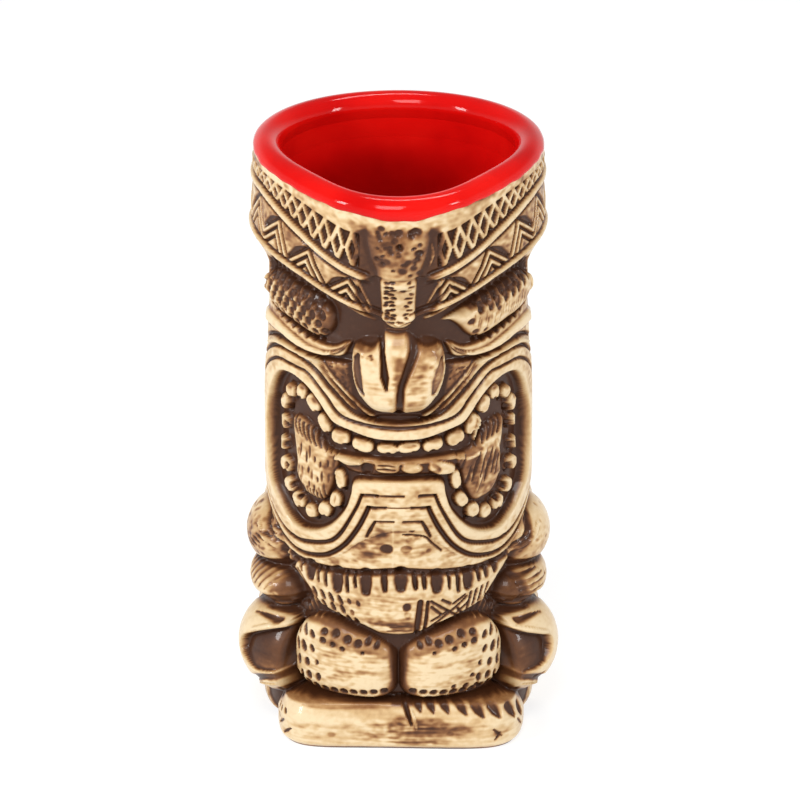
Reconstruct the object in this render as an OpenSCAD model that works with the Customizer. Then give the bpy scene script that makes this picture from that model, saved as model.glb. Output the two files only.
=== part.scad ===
// Tiki mug: a slip-cast ceramic body with a red glaze lining that rolls over the lip.
// The face looks towards -Y. Angles are measured round the mug from the front, positive
// towards +X. Every wall is a stack of rings, so one radius function gives the whole shape.

/* [Mug] */
// Height from the foot to the top of the rim
mug_h = 160; // [150:1:170]
// Radius of the head below the headband
head_r = 34.5; // [33.5:0.1:36]
// Radius of the core that the limbs stand out from
core_r = 33.4; // [32.8:0.1:33.8]
// Radius of the drinking cavity at its floor
cavity_r = 27.5; // [26:0.1:28]
// Thickness of the floor
floor_t = 6.5; // [5:0.5:8]

/* [Rim and headband] */
// Mean radius of the headband
headband_r = 37.3; // [36.8:0.1:38]
// How far the keel at the front of the rim sticks out
keel_relief = 3.2; // [2:0.1:4]
// Height over which the rim dips towards the keel
rim_dip = 2.5; // [0:0.1:4]
// Thickness of the rolled lip
lip_t = 6.8; // [6:0.1:7.2]
// Thickness of the red glaze
glaze_t = 0.6; // [0.4:0.1:0.8]

/* [Face] */
// How far the nose stands out
nose_relief = 5.6; // [4:0.1:6.5]
// How far the eyes bulge
eye_relief = 2.6; // [1.5:0.1:3]
// How far the lips stand out
mouth_relief = 2.0; // [1:0.1:2.5]
// Depth of the open mouth
mouth_depth = 2.4; // [1:0.1:2.6]
// Depth of the recess between the nose and the eyes
socket_depth = 1.6; // [0.5:0.1:2]

/* [Limbs] */
// Radius of the shoulders
shoulder_r = 41.0; // [40:0.1:42]
// Radius of the upper arms
upper_arm_r = 41.0; // [39.5:0.1:42]
// Radius of the bent elbows, which sit forward of the shoulders
elbow_r = 44.9; // [44:0.1:45.5]
// Depth of the hollow under the forearm
elbow_hollow = 5.5; // [3:0.1:6]
// Radius of the knees
knee_r = 38.0; // [37:0.1:38.5]
// Half width across the heels behind the feet
heel_half_w = 38.8; // [38:0.1:39.5]
// Half width of the slab of the feet
feet_half_w = 34.0; // [33:0.1:35]
// Reach of the feet in front of the axis
feet_reach = 38.8; // [38:0.1:39.5]

/* [Hidden] */

// Fine steps across the face, coarse ones round the plain back
face_span = 76;
face_step = 4;
back_count = 20;
back_step = (360 - 2 * face_span) / (back_count + 1);
ANGLES = concat([for (a = [-face_span:face_step:face_span]) a],
                [for (i = [1:back_count]) face_span + i * back_step]);

// Rings up the outside: even ones to wall_top, then a few up to the sloping glaze edge
even_rings = 72;
edge_rings = 4;
wall_top = 0.92 * mug_h;
outer_count = even_rings + edge_rings;

// Rings over the lip, down the cavity wall and round its floor fillet
lip_steps = 8;
wall_steps = 7;
fillet_steps = 4;
fillet_r = 8;
liner_count = lip_steps + wall_steps + fillet_steps;

// Levels of the face, as parts of the height
band_low = 0.765 * mug_h;
eye_z = 0.765 * mug_h;
socket_z = 0.735 * mug_h;
nose_top = 0.74 * mug_h;
nose_low = 0.603 * mug_h;
nose_z = (nose_top + nose_low) / 2;
mouth_z = 0.512 * mug_h;
beard_low = 0.205 * mug_h;
beard_top = 0.315 * mug_h;

// Levels of the limbs
shoulder_z = 0.31 * mug_h;
upper_arm_z = 0.24 * mug_h;
elbow_z = 0.131 * mug_h;
knee_z = 0.144 * mug_h;
feet_top = 0.076 * mug_h;
heel_z = 0.03 * mug_h;

function clamp01(t) = min(1, max(0, t));
function smooth(t) = let (u = clamp01(t)) u * u * (3 - 2 * u);
function mix(p, q, t) = p + (q - p) * t;
// Angle brought back to the range -180 to 180
function wrap(a) = a > 180 ? a - 360 : a;
// 1 between lo and hi, fading to 0 over the width soft at both ends
function gate(x, lo, hi, soft) = smooth((x - lo) / soft + 0.5) * smooth((hi - x) / soft + 0.5);
// Height of a rounded bump, 1 at its middle, with half sizes wx and wz. Larger powers
// px and pz make it blunter that way, more like a block with rounded edges.
function bump(x, z, cx, cz, wx, wz, px = 2, pz = 2) =
    let (t = max(0, 1 - pow(abs(x - cx) / wx, px) - pow(abs(z - cz) / wz, pz)))
    1 - pow(1 - t, 2.5);

// The rim seen from above: a rounded triangle with a blunt keel at the front
function rim_r(a) = headband_r + 0.6 * cos(3 * a) + keel_relief * exp(-pow(abs(a) / 30, 3));
function rim_z(a) = mug_h - glaze_t - rim_dip * exp(-pow(a / 40, 2));
// The painted lower edge of the red glaze, lowest at the keel
function glaze_edge_z(a) = rim_z(a) - lip_t / 2 - mix(2, 1, smooth(abs(a) / 70));

// Lower edge of the headband, a shallow V that rises towards the sides
function band_edge(b) = band_low + 14 * smooth(b / 75);
// Lower edge of the bearded chin, a bowl that rises towards the sides
function beard_edge(b) = beard_low + 16 * pow(min(b, 70) / 60, 1.6);

// How deep a point lies inside the mouth, in millimetres, negative outside it.
// The mouth is a slot at the middle that opens into a tall lobe in each cheek.
function mouth_in(b, z) = max(
    16 * (1 - norm([(b - 44) / 25, (z - mouth_z) / 21.5])),
    min(6.2 - abs(z - mouth_z - 2.4), (34 - b) * 0.6));

function head(b, z) =
    let (m = mouth_in(b, z))
    head_r
    + mouth_relief * gate(m, -7.5, -0.5, 2.5)
    - mouth_depth * smooth(m / 3)
    + 1.6 * gate(m, 3.2, 7, 2.4)
    + eye_relief * bump(b, z, 46, eye_z, 22, 7.5)
    - socket_depth * bump(b, z, 21, socket_z, 8, 5)
    + nose_relief * bump(b, z, 0, nose_z, 20, 12, 2.6, 2.6)
    + 0.9 * gate(z, beard_top + 1, 0.42 * mug_h, 6) * gate(b, -20, 45, 30);

function headband(b, z) =
    headband_r - 0.7 * gate(z, 0.88 * mug_h, 0.9 * mug_h, 3) * smooth(b / 30)
    + (rim_r(b) - headband_r) * smooth((z - band_low) / 12)
    + 1.5 * bump(b, z, 0, 0.895 * mug_h, 10, 6);

// The chin and beard hang in front of the limbs, and the headband lies over the head
function face(b, z) =
    let (beard = head(b, z) + 1.4 * gate(z, beard_low - 5, beard_top, 3),
         below = max(smooth((beard_edge(b) - z) / 3 + 0.5),
                     smooth((b - 66) / 4 + 0.5) * smooth((shoulder_z + 8 - z) / 4 + 0.5)))
    mix(mix(beard, core_r, below), headband(b, z), smooth((z - band_edge(b)) / 2.6 + 0.5));

function feet(b, z) =
    let (slab = 1 / pow(pow(sin(b) / feet_half_w, 5) + pow(cos(b) / feet_reach, 5), 0.2),
         top = feet_top - 5 * smooth((b - 40) / 18))
    b > 62 ? core_r :
    mix(core_r, slab - 1.2 * smooth(1 - z / 2.5), gate(b, -20, 56, 5) * smooth((top - z) / 3 + 0.5))
    - 1.2 * bump(b, z, 0, 9, 5, 6);

function knees(b, z) =
    core_r + (knee_r - core_r) * bump(b, z, 26, knee_z, 24, 10, 3, 4.5);

function arms(b, z) = max(
    core_r + (shoulder_r - core_r) * bump(b, z, 83, shoulder_z, 30, 10.5, 2, 2.2),
    core_r + (upper_arm_r - core_r) * bump(b, z, 76, upper_arm_z, 27, 7, 2, 2.4),
    core_r + (elbow_r - core_r) * bump(b, z, 69, elbow_z, 25, 14.2, 2, 2.2)
    - elbow_hollow * bump(b, z, 53, elbow_z + 2.5, 9, 7, 3, 3));

// Each heel has a flat outer side, so its radius follows from its half width
function heels(b, z) =
    let (side = heel_half_w / sin(max(b, 60)))
    mix(core_r, side, gate(b, 60, 104, 10) * smooth((heel_z + 6 - z) / 4 + 0.5));

// The back is plain: a broad round seat under a smooth head
function seat(b, z) =
    core_r + 2.6 * smooth((b - 100) / 40) * gate(z, -30, 0.3 * mug_h, 24);

function outer_r(a, z) =
    let (b = abs(wrap(a)))
    max(face(b, z), feet(b, z), knees(b, z), arms(b, z), heels(b, z), seat(b, z));

// Height of ring k on the outside, and the ring's points
function outer_z(a, k) =
    k <= even_rings ? wall_top * k / even_rings :
    mix(wall_top, glaze_edge_z(a), (k - even_rings) / edge_rings);
function at(a, r, z) = [r * sin(a), -r * cos(a), z];
function outer_ring(k) =
    [for (a = ANGLES) let (z = outer_z(wrap(a), k)) at(a, outer_r(a, z), z)];

// The surface that glaze and ceramic share, as [radius, height, normal out, normal up].
// It starts at the glaze edge, with ring 0, and runs over the rolled lip, down the cavity
// wall and round the floor fillet.
function cavity_at(a, z) =
    mix(cavity_r, rim_r(a) - lip_t, smooth((z - 0.2 * mug_h) / (0.76 * mug_h)));
function liner(a, k) =
    let (w = wrap(a), half = lip_t / 2, lip_z = rim_z(w) - half, low = floor_t + fillet_r)
    k == 0 ? [rim_r(w), glaze_edge_z(w), 1, 0] :
    k <= lip_steps ?
        let (t = 180 * (k - 1) / (lip_steps - 1))
        [rim_r(w) - half + half * cos(t), lip_z + half * sin(t), cos(t), sin(t)] :
    k <= lip_steps + wall_steps ?
        let (z = mix(lip_z, low, (k - lip_steps) / wall_steps))
        [cavity_at(w, z), z, -1, 0] :
        let (t = 90 * (k - lip_steps - wall_steps) / (fillet_steps + 1))
        [cavity_r - fillet_r * (1 - cos(t)), low - fillet_r * sin(t), -cos(t), sin(t)];
function liner_ring(k, t) =
    [for (a = ANGLES) let (p = liner(a, k)) at(a, p[0] + t * p[2], p[1] + t * p[3])];

// A closed skin over a list of rings, with a fan to the point first and the point last
module skin(rings, first, last) {
    n = len(ANGLES);
    m = len(rings);
    points = concat([first], [for (ring = rings) each ring], [last]);
    fan_in = [for (i = [0:n - 1]) [0, 1 + i, 1 + (i + 1) % n]];
    walls = [for (k = [0:m - 2], i = [0:n - 1])
        let (p = 1 + k * n + i, q = 1 + k * n + (i + 1) % n)
        each [[p, p + n, q], [q, p + n, q + n]]];
    fan_out = [for (i = [0:n - 1])
        let (base = 1 + (m - 1) * n) [base + i, m * n + 1, base + (i + 1) % n]];
    polyhedron(points, concat(fan_in, walls, fan_out));
}

// Slip-cast body: outside with the face and limbs, rolled lip, cavity wall and floor
module ceramic_body() {
    outside = [for (k = [0:outer_count]) outer_ring(k)];
    inside = [for (k = [1:liner_count]) liner_ring(k, 0)];
    color("burlywood") skin(concat(outside, inside), [0, 0, 0], [0, 0, floor_t]);
}

// Red glaze: a coat of even thickness over the lip and the whole cavity
module red_glaze_lining() {
    coat = [for (k = [0:liner_count]) liner_ring(k, glaze_t)];
    under = [for (k = [liner_count:-1:0]) liner_ring(k, 0)];
    color("crimson") skin(concat(under, coat), [0, 0, floor_t], [0, 0, floor_t + glaze_t]);
}

ceramic_body();
red_glaze_lining();
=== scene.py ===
"""Looks of the tiki mug: a carved, brown-washed ceramic body and its red glaze lining.

The outside is sculpted on a chart: columns of angle round the mug, in degrees from the front and
positive towards +X, and rows of height in millimetres. Lines, areas and ovals drawn on the chart
raise or cut the clay and say how much brown wash stays on it, and the finished chart becomes one
closed mesh. Points on the chart are (angle, height) pairs.
"""

import math

import bpy
import numpy as np
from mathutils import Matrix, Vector


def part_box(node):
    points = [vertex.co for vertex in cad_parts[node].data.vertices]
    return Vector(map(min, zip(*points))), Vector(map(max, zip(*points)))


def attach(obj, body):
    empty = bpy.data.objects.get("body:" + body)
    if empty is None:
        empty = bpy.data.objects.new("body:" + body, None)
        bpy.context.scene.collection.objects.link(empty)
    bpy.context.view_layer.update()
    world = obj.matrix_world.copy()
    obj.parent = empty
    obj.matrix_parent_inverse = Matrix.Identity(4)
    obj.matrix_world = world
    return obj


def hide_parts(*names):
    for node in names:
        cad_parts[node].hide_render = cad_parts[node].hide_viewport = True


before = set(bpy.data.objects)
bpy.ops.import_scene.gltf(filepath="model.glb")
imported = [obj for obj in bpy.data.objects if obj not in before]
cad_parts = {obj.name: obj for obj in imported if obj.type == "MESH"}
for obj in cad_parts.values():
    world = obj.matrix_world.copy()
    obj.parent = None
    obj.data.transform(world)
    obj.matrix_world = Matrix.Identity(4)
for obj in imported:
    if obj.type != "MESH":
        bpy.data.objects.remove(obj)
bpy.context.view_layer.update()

# ------------------------------------------------------------------ driving dimensions (mm)
MUG_H = 160.0
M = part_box("red_glaze_lining")[1].z / MUG_H  # metres in a millimetre of the design
HEADBAND_R = 37.4
KEEL = 3.3
RIM_DIP = 2.5
LIP_T = 6.8
GLAZE_T = 0.55
CAVITY_R = 27.5
FLOOR_T = 6.5
FLOOR_FILLET = 8.0  # where the cavity wall meets the floor
TUCK = 0.12  # how far the back of the glaze lies under the surface of the clay
BEHIND_GLAZE = 0.4  # how far the clay's own cavity wall stands behind the nominal one

COLUMNS = 800  # of the chart, round the mug
ROW_STEP = 0.3  # mm between two rows
ARC = 0.63  # millimetres along the surface in a degree of angle
BOTH = (1, -1)
RIGHT = (1,)
LEFT = (-1,)
REACH = 1.12  # a stroke's soft sides end at this many times its half width
CURVE_STEPS = 5  # pieces between two points of a smooth line
COLUMN_STEP = 0.29  # mm between two columns of the chart at the headband
PALE = 0.19  # tone of the wash on plain clay
SMOOTH_CLAY = 0.1  # share of the sideways wiping that shows on plain clay
THIN_WALL = 1.4  # mm of clay left behind the deepest cut
STAIN = "stain"


# ------------------------------------------------------------------ small maths
def smooth(t):
    """An S curve from 0 to 1 while t goes from 0 to 1."""
    t = np.clip(t, 0.0, 1.0)
    return t * t * (3.0 - 2.0 * t)


def below(x, high, soft):
    """1 where x is under high, fading over the width soft."""
    return smooth((high - x) / soft + 0.5)


def gate(x, low, high, soft):
    """1 between low and high, fading over the width soft at both ends."""
    return below(-x, -low, soft) * below(x, high, soft)


def mix(p, q, t):
    """p where t is 0 and q where t is 1."""
    return p + (q - p) * t


def join(p, q, soft):
    """The larger of p and q, with a fillet of about the size soft between them."""
    t = np.clip(0.5 + 0.5 * (p - q) / soft, 0.0, 1.0)
    return mix(q, p, t) + soft * t * (1.0 - t)


def table(x, *pairs):
    """Straight lines through (x, y) pairs."""
    pairs = np.array(pairs, float)
    return np.interp(x, pairs[:, 0], pairs[:, 1])


def wiggle(a, seed, waves, reach=1.0):
    """A repeatable hand-made waver round the mug: a few sines of whole numbers of waves."""
    rng = np.random.default_rng(seed)
    total = np.zeros_like(np.asarray(a, float))
    for n in waves:
        total += rng.uniform(0.5, 1.0) * np.sin(np.radians(n * a) + rng.uniform(0, 6.28))
    return reach * total / len(waves)


# ------------------------------------------------------------------ rim and lip
def rim_r(a):
    """Radius of the rim: round, a little three-sided, and swelling into the keel."""
    b = np.abs(a)
    return HEADBAND_R + 0.6 * np.cos(np.radians(3 * a)) + KEEL * np.exp(-((b / 30) ** 3))


def lip_z(a):
    """Height of the middle of the rolled lip, whose top is half a lip thickness higher."""
    return MUG_H - GLAZE_T - RIM_DIP * np.exp(-((a / 40) ** 2)) - LIP_T / 2


def cavity_r(a, z):
    """Radius of the cavity wall, which opens a little under the lip."""
    wall = mix(CAVITY_R, rim_r(a) - LIP_T, smooth((z - 30) / 122))
    return wall + np.exp(-(((lip_z(a) - 5 - z) / 4) ** 2))


# ------------------------------------------------------------------ the chart
ang = np.arange(COLUMNS) * 360 / COLUMNS - 180
top = lip_z(ang)
share = np.linspace(0.0, 1.0, int(MUG_H / ROW_STEP))
Z = share[:, None] * top[None, :]
T = np.broadcast_to(ang[None, :], Z.shape)
B = np.abs(T)
SIN = np.sin(np.radians(B))
COS = np.cos(np.radians(B))


def window(a0, a1, z0, z1):
    """Slices of the chart that hold a patch of angles and heights."""
    rows = np.searchsorted(share, (z0 / top.max(), z1 / top.min()))
    cols = np.searchsorted(ang, (a0, a1))
    return slice(max(rows[0] - 1, 0), rows[1] + 1), slice(max(cols[0] - 1, 0), cols[1] + 1)


def curve(points, closed=False):
    """A smooth line through chart points (Catmull-Rom)."""
    p = np.array(points, float)
    if len(p) < 3:
        return p
    if closed:
        p = np.vstack([p[-1], p, p[0], p[1]])
    else:
        p = np.vstack([2 * p[0] - p[1], p, 2 * p[-1] - p[-2]])
    t = np.arange(CURVE_STEPS)[:, None] / CURVE_STEPS
    out = []
    for a, b, c, d in zip(p[:-3], p[1:-2], p[2:-1], p[3:]):
        out.append(0.5 * (2 * b + (c - a) * t + (2 * a - 5 * b + 4 * c - d) * t ** 2
                          + (3 * b - a - 3 * c + d) * t ** 3))
    out.append(p[-2:-1])
    return np.vstack(out)


def distance(route, reach):
    """Over a patch of the chart: its slices, the distance in mm to a route, and the share of
    the route's length at the nearest point."""
    low = route.min(0)
    high = route.max(0)
    rows, cols = window(low[0] - reach / ARC, high[0] + reach / ARC, low[1] - reach, high[1] + reach)
    z = Z[rows, cols]
    x = np.broadcast_to(ang[cols][None, :] * ARC, z.shape)
    best = np.full(z.shape, 1e9)
    along = np.zeros(z.shape)
    run = 0.0
    for p, q in zip(route[:-1], route[1:]):
        px, pz = p[0] * ARC, p[1]
        dx, dz = q[0] * ARC - px, q[1] - pz
        length = math.hypot(dx, dz)
        if length < 1e-6:
            continue
        t = np.clip(((x - px) * dx + (z - pz) * dz) / length ** 2, 0.0, 1.0)
        d = np.hypot(x - px - t * dx, z - pz - t * dz)
        near = d < best
        best = np.where(near, d, best)
        along = np.where(near, run + t * length, along)
        run += length
    return rows, cols, best, along / max(run, 1e-6)


def sided(points, side):
    """The points as they lie on one side of the front."""
    return np.array(points, float) * (side, 1)


def whole(points):
    """A closed outline from its right half: the half and its mirror image."""
    return list(points) + [(-a, z) for a, z in reversed(points) if a]


def across(points):
    """A line over the front from its right half: the mirror image and then the half."""
    return [(-a, z) for a, z in reversed(points) if a] + list(points)


def spread(value, along):
    """A number, or a list of them spread evenly along a line."""
    if np.isscalar(value):
        return value
    return np.interp(along, np.linspace(0, 1, len(value)), value)


# A patch is (rows, columns, mask). The makers below return a list of them, one for each side.
def line(points, half, sides=BOTH, bend=True, sharp=0.35):
    """A stroke along a line. half is half its width in mm, or a list of half widths along it.
    sharp from 0 to 1 makes its sides steeper, and bend makes the line a smooth one."""
    patches = []
    for side in sides:
        route = sided(points, side)
        if bend:
            route = curve(route)
        rows, cols, d, along = distance(route, REACH * float(np.max(half)) + 0.5)
        u = np.clip(d / (REACH * spread(half, along)), 0.0, 1.0)
        patches.append((rows, cols, 1.0 - smooth((u - sharp) / (1.0 - sharp))))
    return patches


def inside(points, reach, side):
    """The signed distance in mm to a smooth closed outline, positive inside it, as a patch."""
    route = curve(sided(points, side), closed=True)
    rows, cols, d, _ = distance(route, reach)
    z = Z[rows, cols]
    x = np.broadcast_to(ang[cols][None, :], z.shape)
    odd = np.zeros(z.shape, bool)
    for p, q in zip(route[:-1], route[1:]):
        if p[1] == q[1]:
            continue
        crosses = (z >= min(p[1], q[1])) & (z < max(p[1], q[1]))
        odd ^= crosses & (x < p[0] + (z - p[1]) * (q[0] - p[0]) / (q[1] - p[1]))
    return rows, cols, np.where(odd, d, -d)


def area(points, edge, sides=BOTH):
    """Everything inside an outline, over an edge this wide in mm."""
    patches = []
    for side in sides:
        rows, cols, d = inside(points, edge, side)
        patches.append((rows, cols, smooth(d / edge + 0.5)))
    return patches


def cushion(points, reach, sides=BOTH):
    """A cushion over an outline: it rises over the distance reach in from the outline."""
    patches = []
    for side in sides:
        rows, cols, d = inside(points, 0.5, side)
        u = np.clip(d / reach, 0.0, 1.0)
        patches.append((rows, cols, np.sqrt(1.0 - (1.0 - u) ** 2)))
    return patches


def oval(a, z, wide, tall, lean=0.0, sides=BOTH, blunt=2.0, sharp=0.35):
    """An oval with its middle at a chart point. wide and tall are its half sizes in mm, and
    lean tips its top towards larger angles. sharp from 0 to 1 makes its sides steeper."""
    patches = []
    for side in sides:
        reach = max(wide, tall) * 1.2
        a0 = a * side
        rows, cols = window(a0 - reach / ARC, a0 + reach / ARC, z - reach, z + reach)
        x = (ang[cols][None, :] - a0) * ARC * side
        y = Z[rows, cols] - z
        c, s = math.cos(math.radians(lean)), math.sin(math.radians(lean))
        u = np.abs((x * c - y * s) / wide) ** blunt + np.abs((x * s + y * c) / tall) ** blunt
        patches.append((rows, cols, 1.0 - smooth((u - sharp) / (1.0 - sharp))))
    return patches


def work(patches, lift=0.0, tone=None, cover=1.4):
    """Raises the clay by lift mm under each patch, and leaves brown wash of this tone there: 0
    is wiped clean and 1 is full. cover over 1 carries the tone out over the patch's soft edge."""
    for rows, cols, mask in patches:
        R[rows, cols] += lift * mask
        if tone is not None:
            wash[rows, cols] = mix(wash[rows, cols], tone, np.clip(mask * cover, 0, 1))


def stroke(points, half, lift, tone=None, sides=BOTH, cover=1.4, bend=True, sharp=0.35):
    """Work along a line."""
    work(line(points, half, sides, bend, sharp), lift, tone, cover)


def dab(a, z, wide, tall, lean, lift, tone=None, sides=BOTH, cover=1.4, blunt=2.0, sharp=0.35):
    """Work over an oval."""
    work(oval(a, z, wide, tall, lean, sides, blunt, sharp), lift, tone, cover)


def facet(points, edge, lift, tone=None, sides=BOTH, cover=1.4):
    """Work over everything inside an outline."""
    work(area(points, edge, sides), lift, tone, cover)


def tint(points, edge, tone, cover=1.4, sides=RIGHT):
    """Wash alone over everything inside an outline."""
    facet(points, edge, 0.0, tone, sides, cover)


def dots(marks, lift, tone, sides=BOTH, flat=1.0, lean=0.0, sharp=0.35, cover=1.4):
    """Ovals of the same kind at (angle, height, half width); flat is height over width."""
    for a, z, size in marks:
        dab(a, z, size, size * flat, lean, lift, tone, sides, cover, sharp=sharp)


def brushed(patches, amount):
    """Says how much of the sideways wiping shows under each patch."""
    for rows, cols, mask in patches:
        brush[rows, cols] = mix(brush[rows, cols], amount, mask)


def freckles(seed, count, a0, a1, z0, z1, size, tones, sides):
    """Small uneven dabs of wash, scattered over a part of the chart."""
    rng = np.random.default_rng(seed)
    for side in sides:
        for _ in range(count):
            a = rng.uniform(a0, a1)
            z = rng.uniform(z0, z1)
            wide = size * rng.uniform(0.6, 1.4)
            tall = size * rng.uniform(0.4, 0.9)
            lean = rng.uniform(-35, 35)
            dab(a, z, wide, tall, lean, -0.1, rng.uniform(*tones), (side,), 0.9, sharp=0.1)


def everywhere(mask):
    """A mask over the whole chart, as a list of one patch."""
    return [(slice(None), slice(None), mask)]


def blob(centre, radii):
    """Radius at which a ray out from the axis leaves an ellipsoid, 0 where it misses. The
    ellipsoid has a mirrored twin on the other side."""
    cx, cy, cz = centre
    ax, ay, az = radii
    k = 1.0 - ((Z - cz) / az) ** 2
    p = (SIN / ax) ** 2 + (COS / ay) ** 2
    q = SIN * cx / ax ** 2 - COS * cy / ay ** 2
    s = (cx / ax) ** 2 + (cy / ay) ** 2 - k
    root = q * q - p * s
    return np.where((root > 0) & (k > 0), (q + np.sqrt(np.maximum(root, 0))) / p, 0.0)


# ------------------------------------------------------------------ the large forms
BAND_LOW = ((0, 122.3), (10, 125), (20, 126.9), (30, 129.5), (40, 132), (50, 133.5), (60, 134.5),
            (80, 136), (180, 137))
CORD = ((0, 134.6), (10, 136), (20, 138.3), (30, 141.2), (40, 144.2), (50, 146.5), (60, 148.6),
        (70, 149.8), (85, 150.2), (180, 150.2))
CHAIN_LOW = ((0, 136.8), (15, 139.4), (20, 140.3), (30, 143), (40, 145.8), (50, 148.2), (60, 150.3),
             (75, 151.5), (180, 151.6))
CHAIN_TOP = ((0, 147), (10, 147.6), (20, 148.6), (30, 150.6), (40, 152.2), (50, 153.6), (60, 154.4),
             (75, 154.9), (180, 154.9))
BEARD_LOW = ((0, 32.8), (8, 33.2), (15, 35), (25, 36.8), (35, 38.5), (40, 40), (45, 43),
             (50, 45.3), (60, 50), (68, 57), (74, 64), (90, 64))


def column():
    """The plain head, slightly waisted under the headband."""
    return table(Z, (0, 33), (45, 33.4), (60, 34.2), (70, 34.9), (100, 34.4), (109, 34.3), (117, 33.5),
                 (125, 33.6), (160, 34))


def headband_form():
    """The overhanging headband, which swells into the keel at the front."""
    side = table(Z, (120, 35.2), (126, 36.0), (132, 37.3), (137, 38.1), (143, 38.0), (149, 37.3),
                 (156, HEADBAND_R))
    keel = (rim_r(T) - HEADBAND_R) * mix(0.25, 1.0, smooth((Z - 122) / 28))
    return side + keel


def feet():
    """One slab for both feet, a little off the middle, with a front that bows slightly."""
    boxy = 6.5  # a higher power gives squarer corners
    across_feet = SIN / 33.3
    ahead = np.maximum(COS, 0) / 38.6
    slab = (across_feet ** boxy + ahead ** boxy) ** (-1 / boxy) + np.sin(np.radians(T))
    high = table(B, (0, 12.8), (30, 12.8), (45, 11.8), (54, 10.0), (60, 8))
    foot = slab - 1.3 * (1 - smooth(Z / 2.2)) ** 2 - 2.6 * smooth((Z - high + 5.0) / 6.0)
    foot = foot - 8.0 * smooth((Z - high + 0.2) / 2.0)
    return foot * below(Z, high + 2.5, 0.5) * below(B, 60, 3)


def knees():
    """Broad knees, full down to the feet; their tops follow the beard's lower edge."""
    crest = table(B, (2, 31.2), (9, 32.2), (16, 33.8), (24, 35.6), (31, 36.6), (38, 36.4), (44, 34.6),
                  (49, 31))
    middle = (crest + 13.4) / 2
    half = (crest - 13.4) / 2
    u = np.abs((B - 24.7) / 24.9) ** table(B, (20, 3.9), (32, 2.8)) + np.abs((Z - middle) / half) ** 4
    form = 32.6 + table(B, (3, 5.6), (20, 6.2), (38, 7.2), (48, 8.4)) * np.maximum(1 - u, 0) ** 0.42
    return np.where(u < 1, form, 0)


def heels():
    """The ends of the feet, which show behind and beside the slab."""
    u = np.abs((B - 78) / 21) ** 4 + np.abs((Z - 3.5) / 8.0) ** 3
    return np.where(u < 1, 33 + 4.2 * np.maximum(1 - u, 0) ** 0.45, 0)


def arms():
    """The rolls of each arm, with the shoulder blade behind them and the haunch below."""
    shoulder = blob((29.5, -4, 49.5), (11.3, 15, 10.2))
    upper = blob((29.5, -9, 38.6), (10.4, 14.5, 6.9))
    elbow = blob((28.5, -15.0, 21.2), (14.6, 15.5, 14.2)) * smooth((B - 46) / 3)
    blade = blob((22.5, 10, 49), (14.4, 17, 15))
    haunch = blob((23, 11, 17.5), (15.8, 19, 17))
    behind = join(blade, haunch, 1.5)
    return join(join(join(shoulder, upper, 0.5), elbow, 0.5), behind, 0.6)


def seat():
    """The plain back: it eases out from the head down to the seat."""
    return 33.4 + 2.2 * smooth((B - 96) / 40) * below(Z, 50, 30)


def large_forms():
    """Radius of the clay over the whole chart, before the carving."""
    head = column()
    low = table(B, *BEARD_LOW)
    face = mix(head + 1.3, 32.6, smooth((low - Z) / 1.5 + 0.5))
    face = mix(face, head, smooth((B - 72) / 9) * smooth((Z - 62) / 5 + 0.5))
    body = join(face, seat(), 1.0)
    body = join(body, feet(), 0.6)
    body = join(body, knees(), 0.6)
    body = join(body, heels(), 0.8)
    body = join(body, arms(), 0.8)
    band = table(B, *BAND_LOW)
    edge = mix(0.8, 9.0, smooth((B - 58) / 22))
    drop = mix(0.0, 4.0, smooth((B - 58) / 22))
    return mix(body, headband_form(), smooth((Z - band + drop) / edge + 0.5))


# ------------------------------------------------------------------ headband
def chain():
    """The chain of open diamonds under the rim, between dark triangles. The ones next to the
    keel stand apart, and the others touch."""
    first = 16.6
    pitch = (180 - first) / 28
    low = table(B, *CHAIN_LOW)
    high = table(B, *CHAIN_TOP)
    touching = pitch * ARC / 2
    half_wide = table(B, (14, 1.2), (22, 1.4), (30, 1.7), (38, touching), (180, touching))
    half_tall = (high - low) / 2
    over = np.abs(((B - first) / pitch + 0.5) % 1.0 - 0.5) * pitch * ARC / half_wide
    v = (Z - low) / (high - low)
    off = (over + np.abs(2 * v - 1) - 1) * half_wide * half_tall / np.hypot(half_wide, half_tall)
    band = gate(v, 0, 1, 0.12) * smooth((B - 13.8) / 0.8)
    rail = 1 - smooth((np.abs(off) - 0.36) / 0.26)
    hollow = smooth((-off - 0.4) / 0.3)
    gap = smooth((off - 0.4) / 0.3)
    work(everywhere(band), 0.0, 0.3)
    work(everywhere(band * gap), -1.2, 0.84)
    work(everywhere(band * hollow), -0.9, 0.74)
    work(everywhere(band * rail), 0.25, 0.22)


def cords():
    """The round cord in the middle of the headband, and the cord and thin bead along its edge."""
    edge = table(B, *BAND_LOW)
    for middle, half, lift, first in ((table(B, *CORD), 0.95, 0.8, 9), (edge + 0.9, 0.7, 0.7, 2)):
        d = np.abs(Z - middle)
        start = smooth((B - first) / 3)
        shade = start * mix(1.0, 0.6, smooth((B - 60) / 30))
        work(everywhere(gate(d, half + 0.1, half + 1.0, 0.5) * shade), -0.6, 0.84)
        work(everywhere((1 - smooth((d - half + 0.5) / 0.6)) * start), lift, 0.24)
    bead = (1 - smooth((np.abs(Z - edge + 1.6) - 0.1) / 0.45)) * gate(B, 11, 52, 8)
    work(everywhere(bead), 0.7, 0.46)


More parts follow.
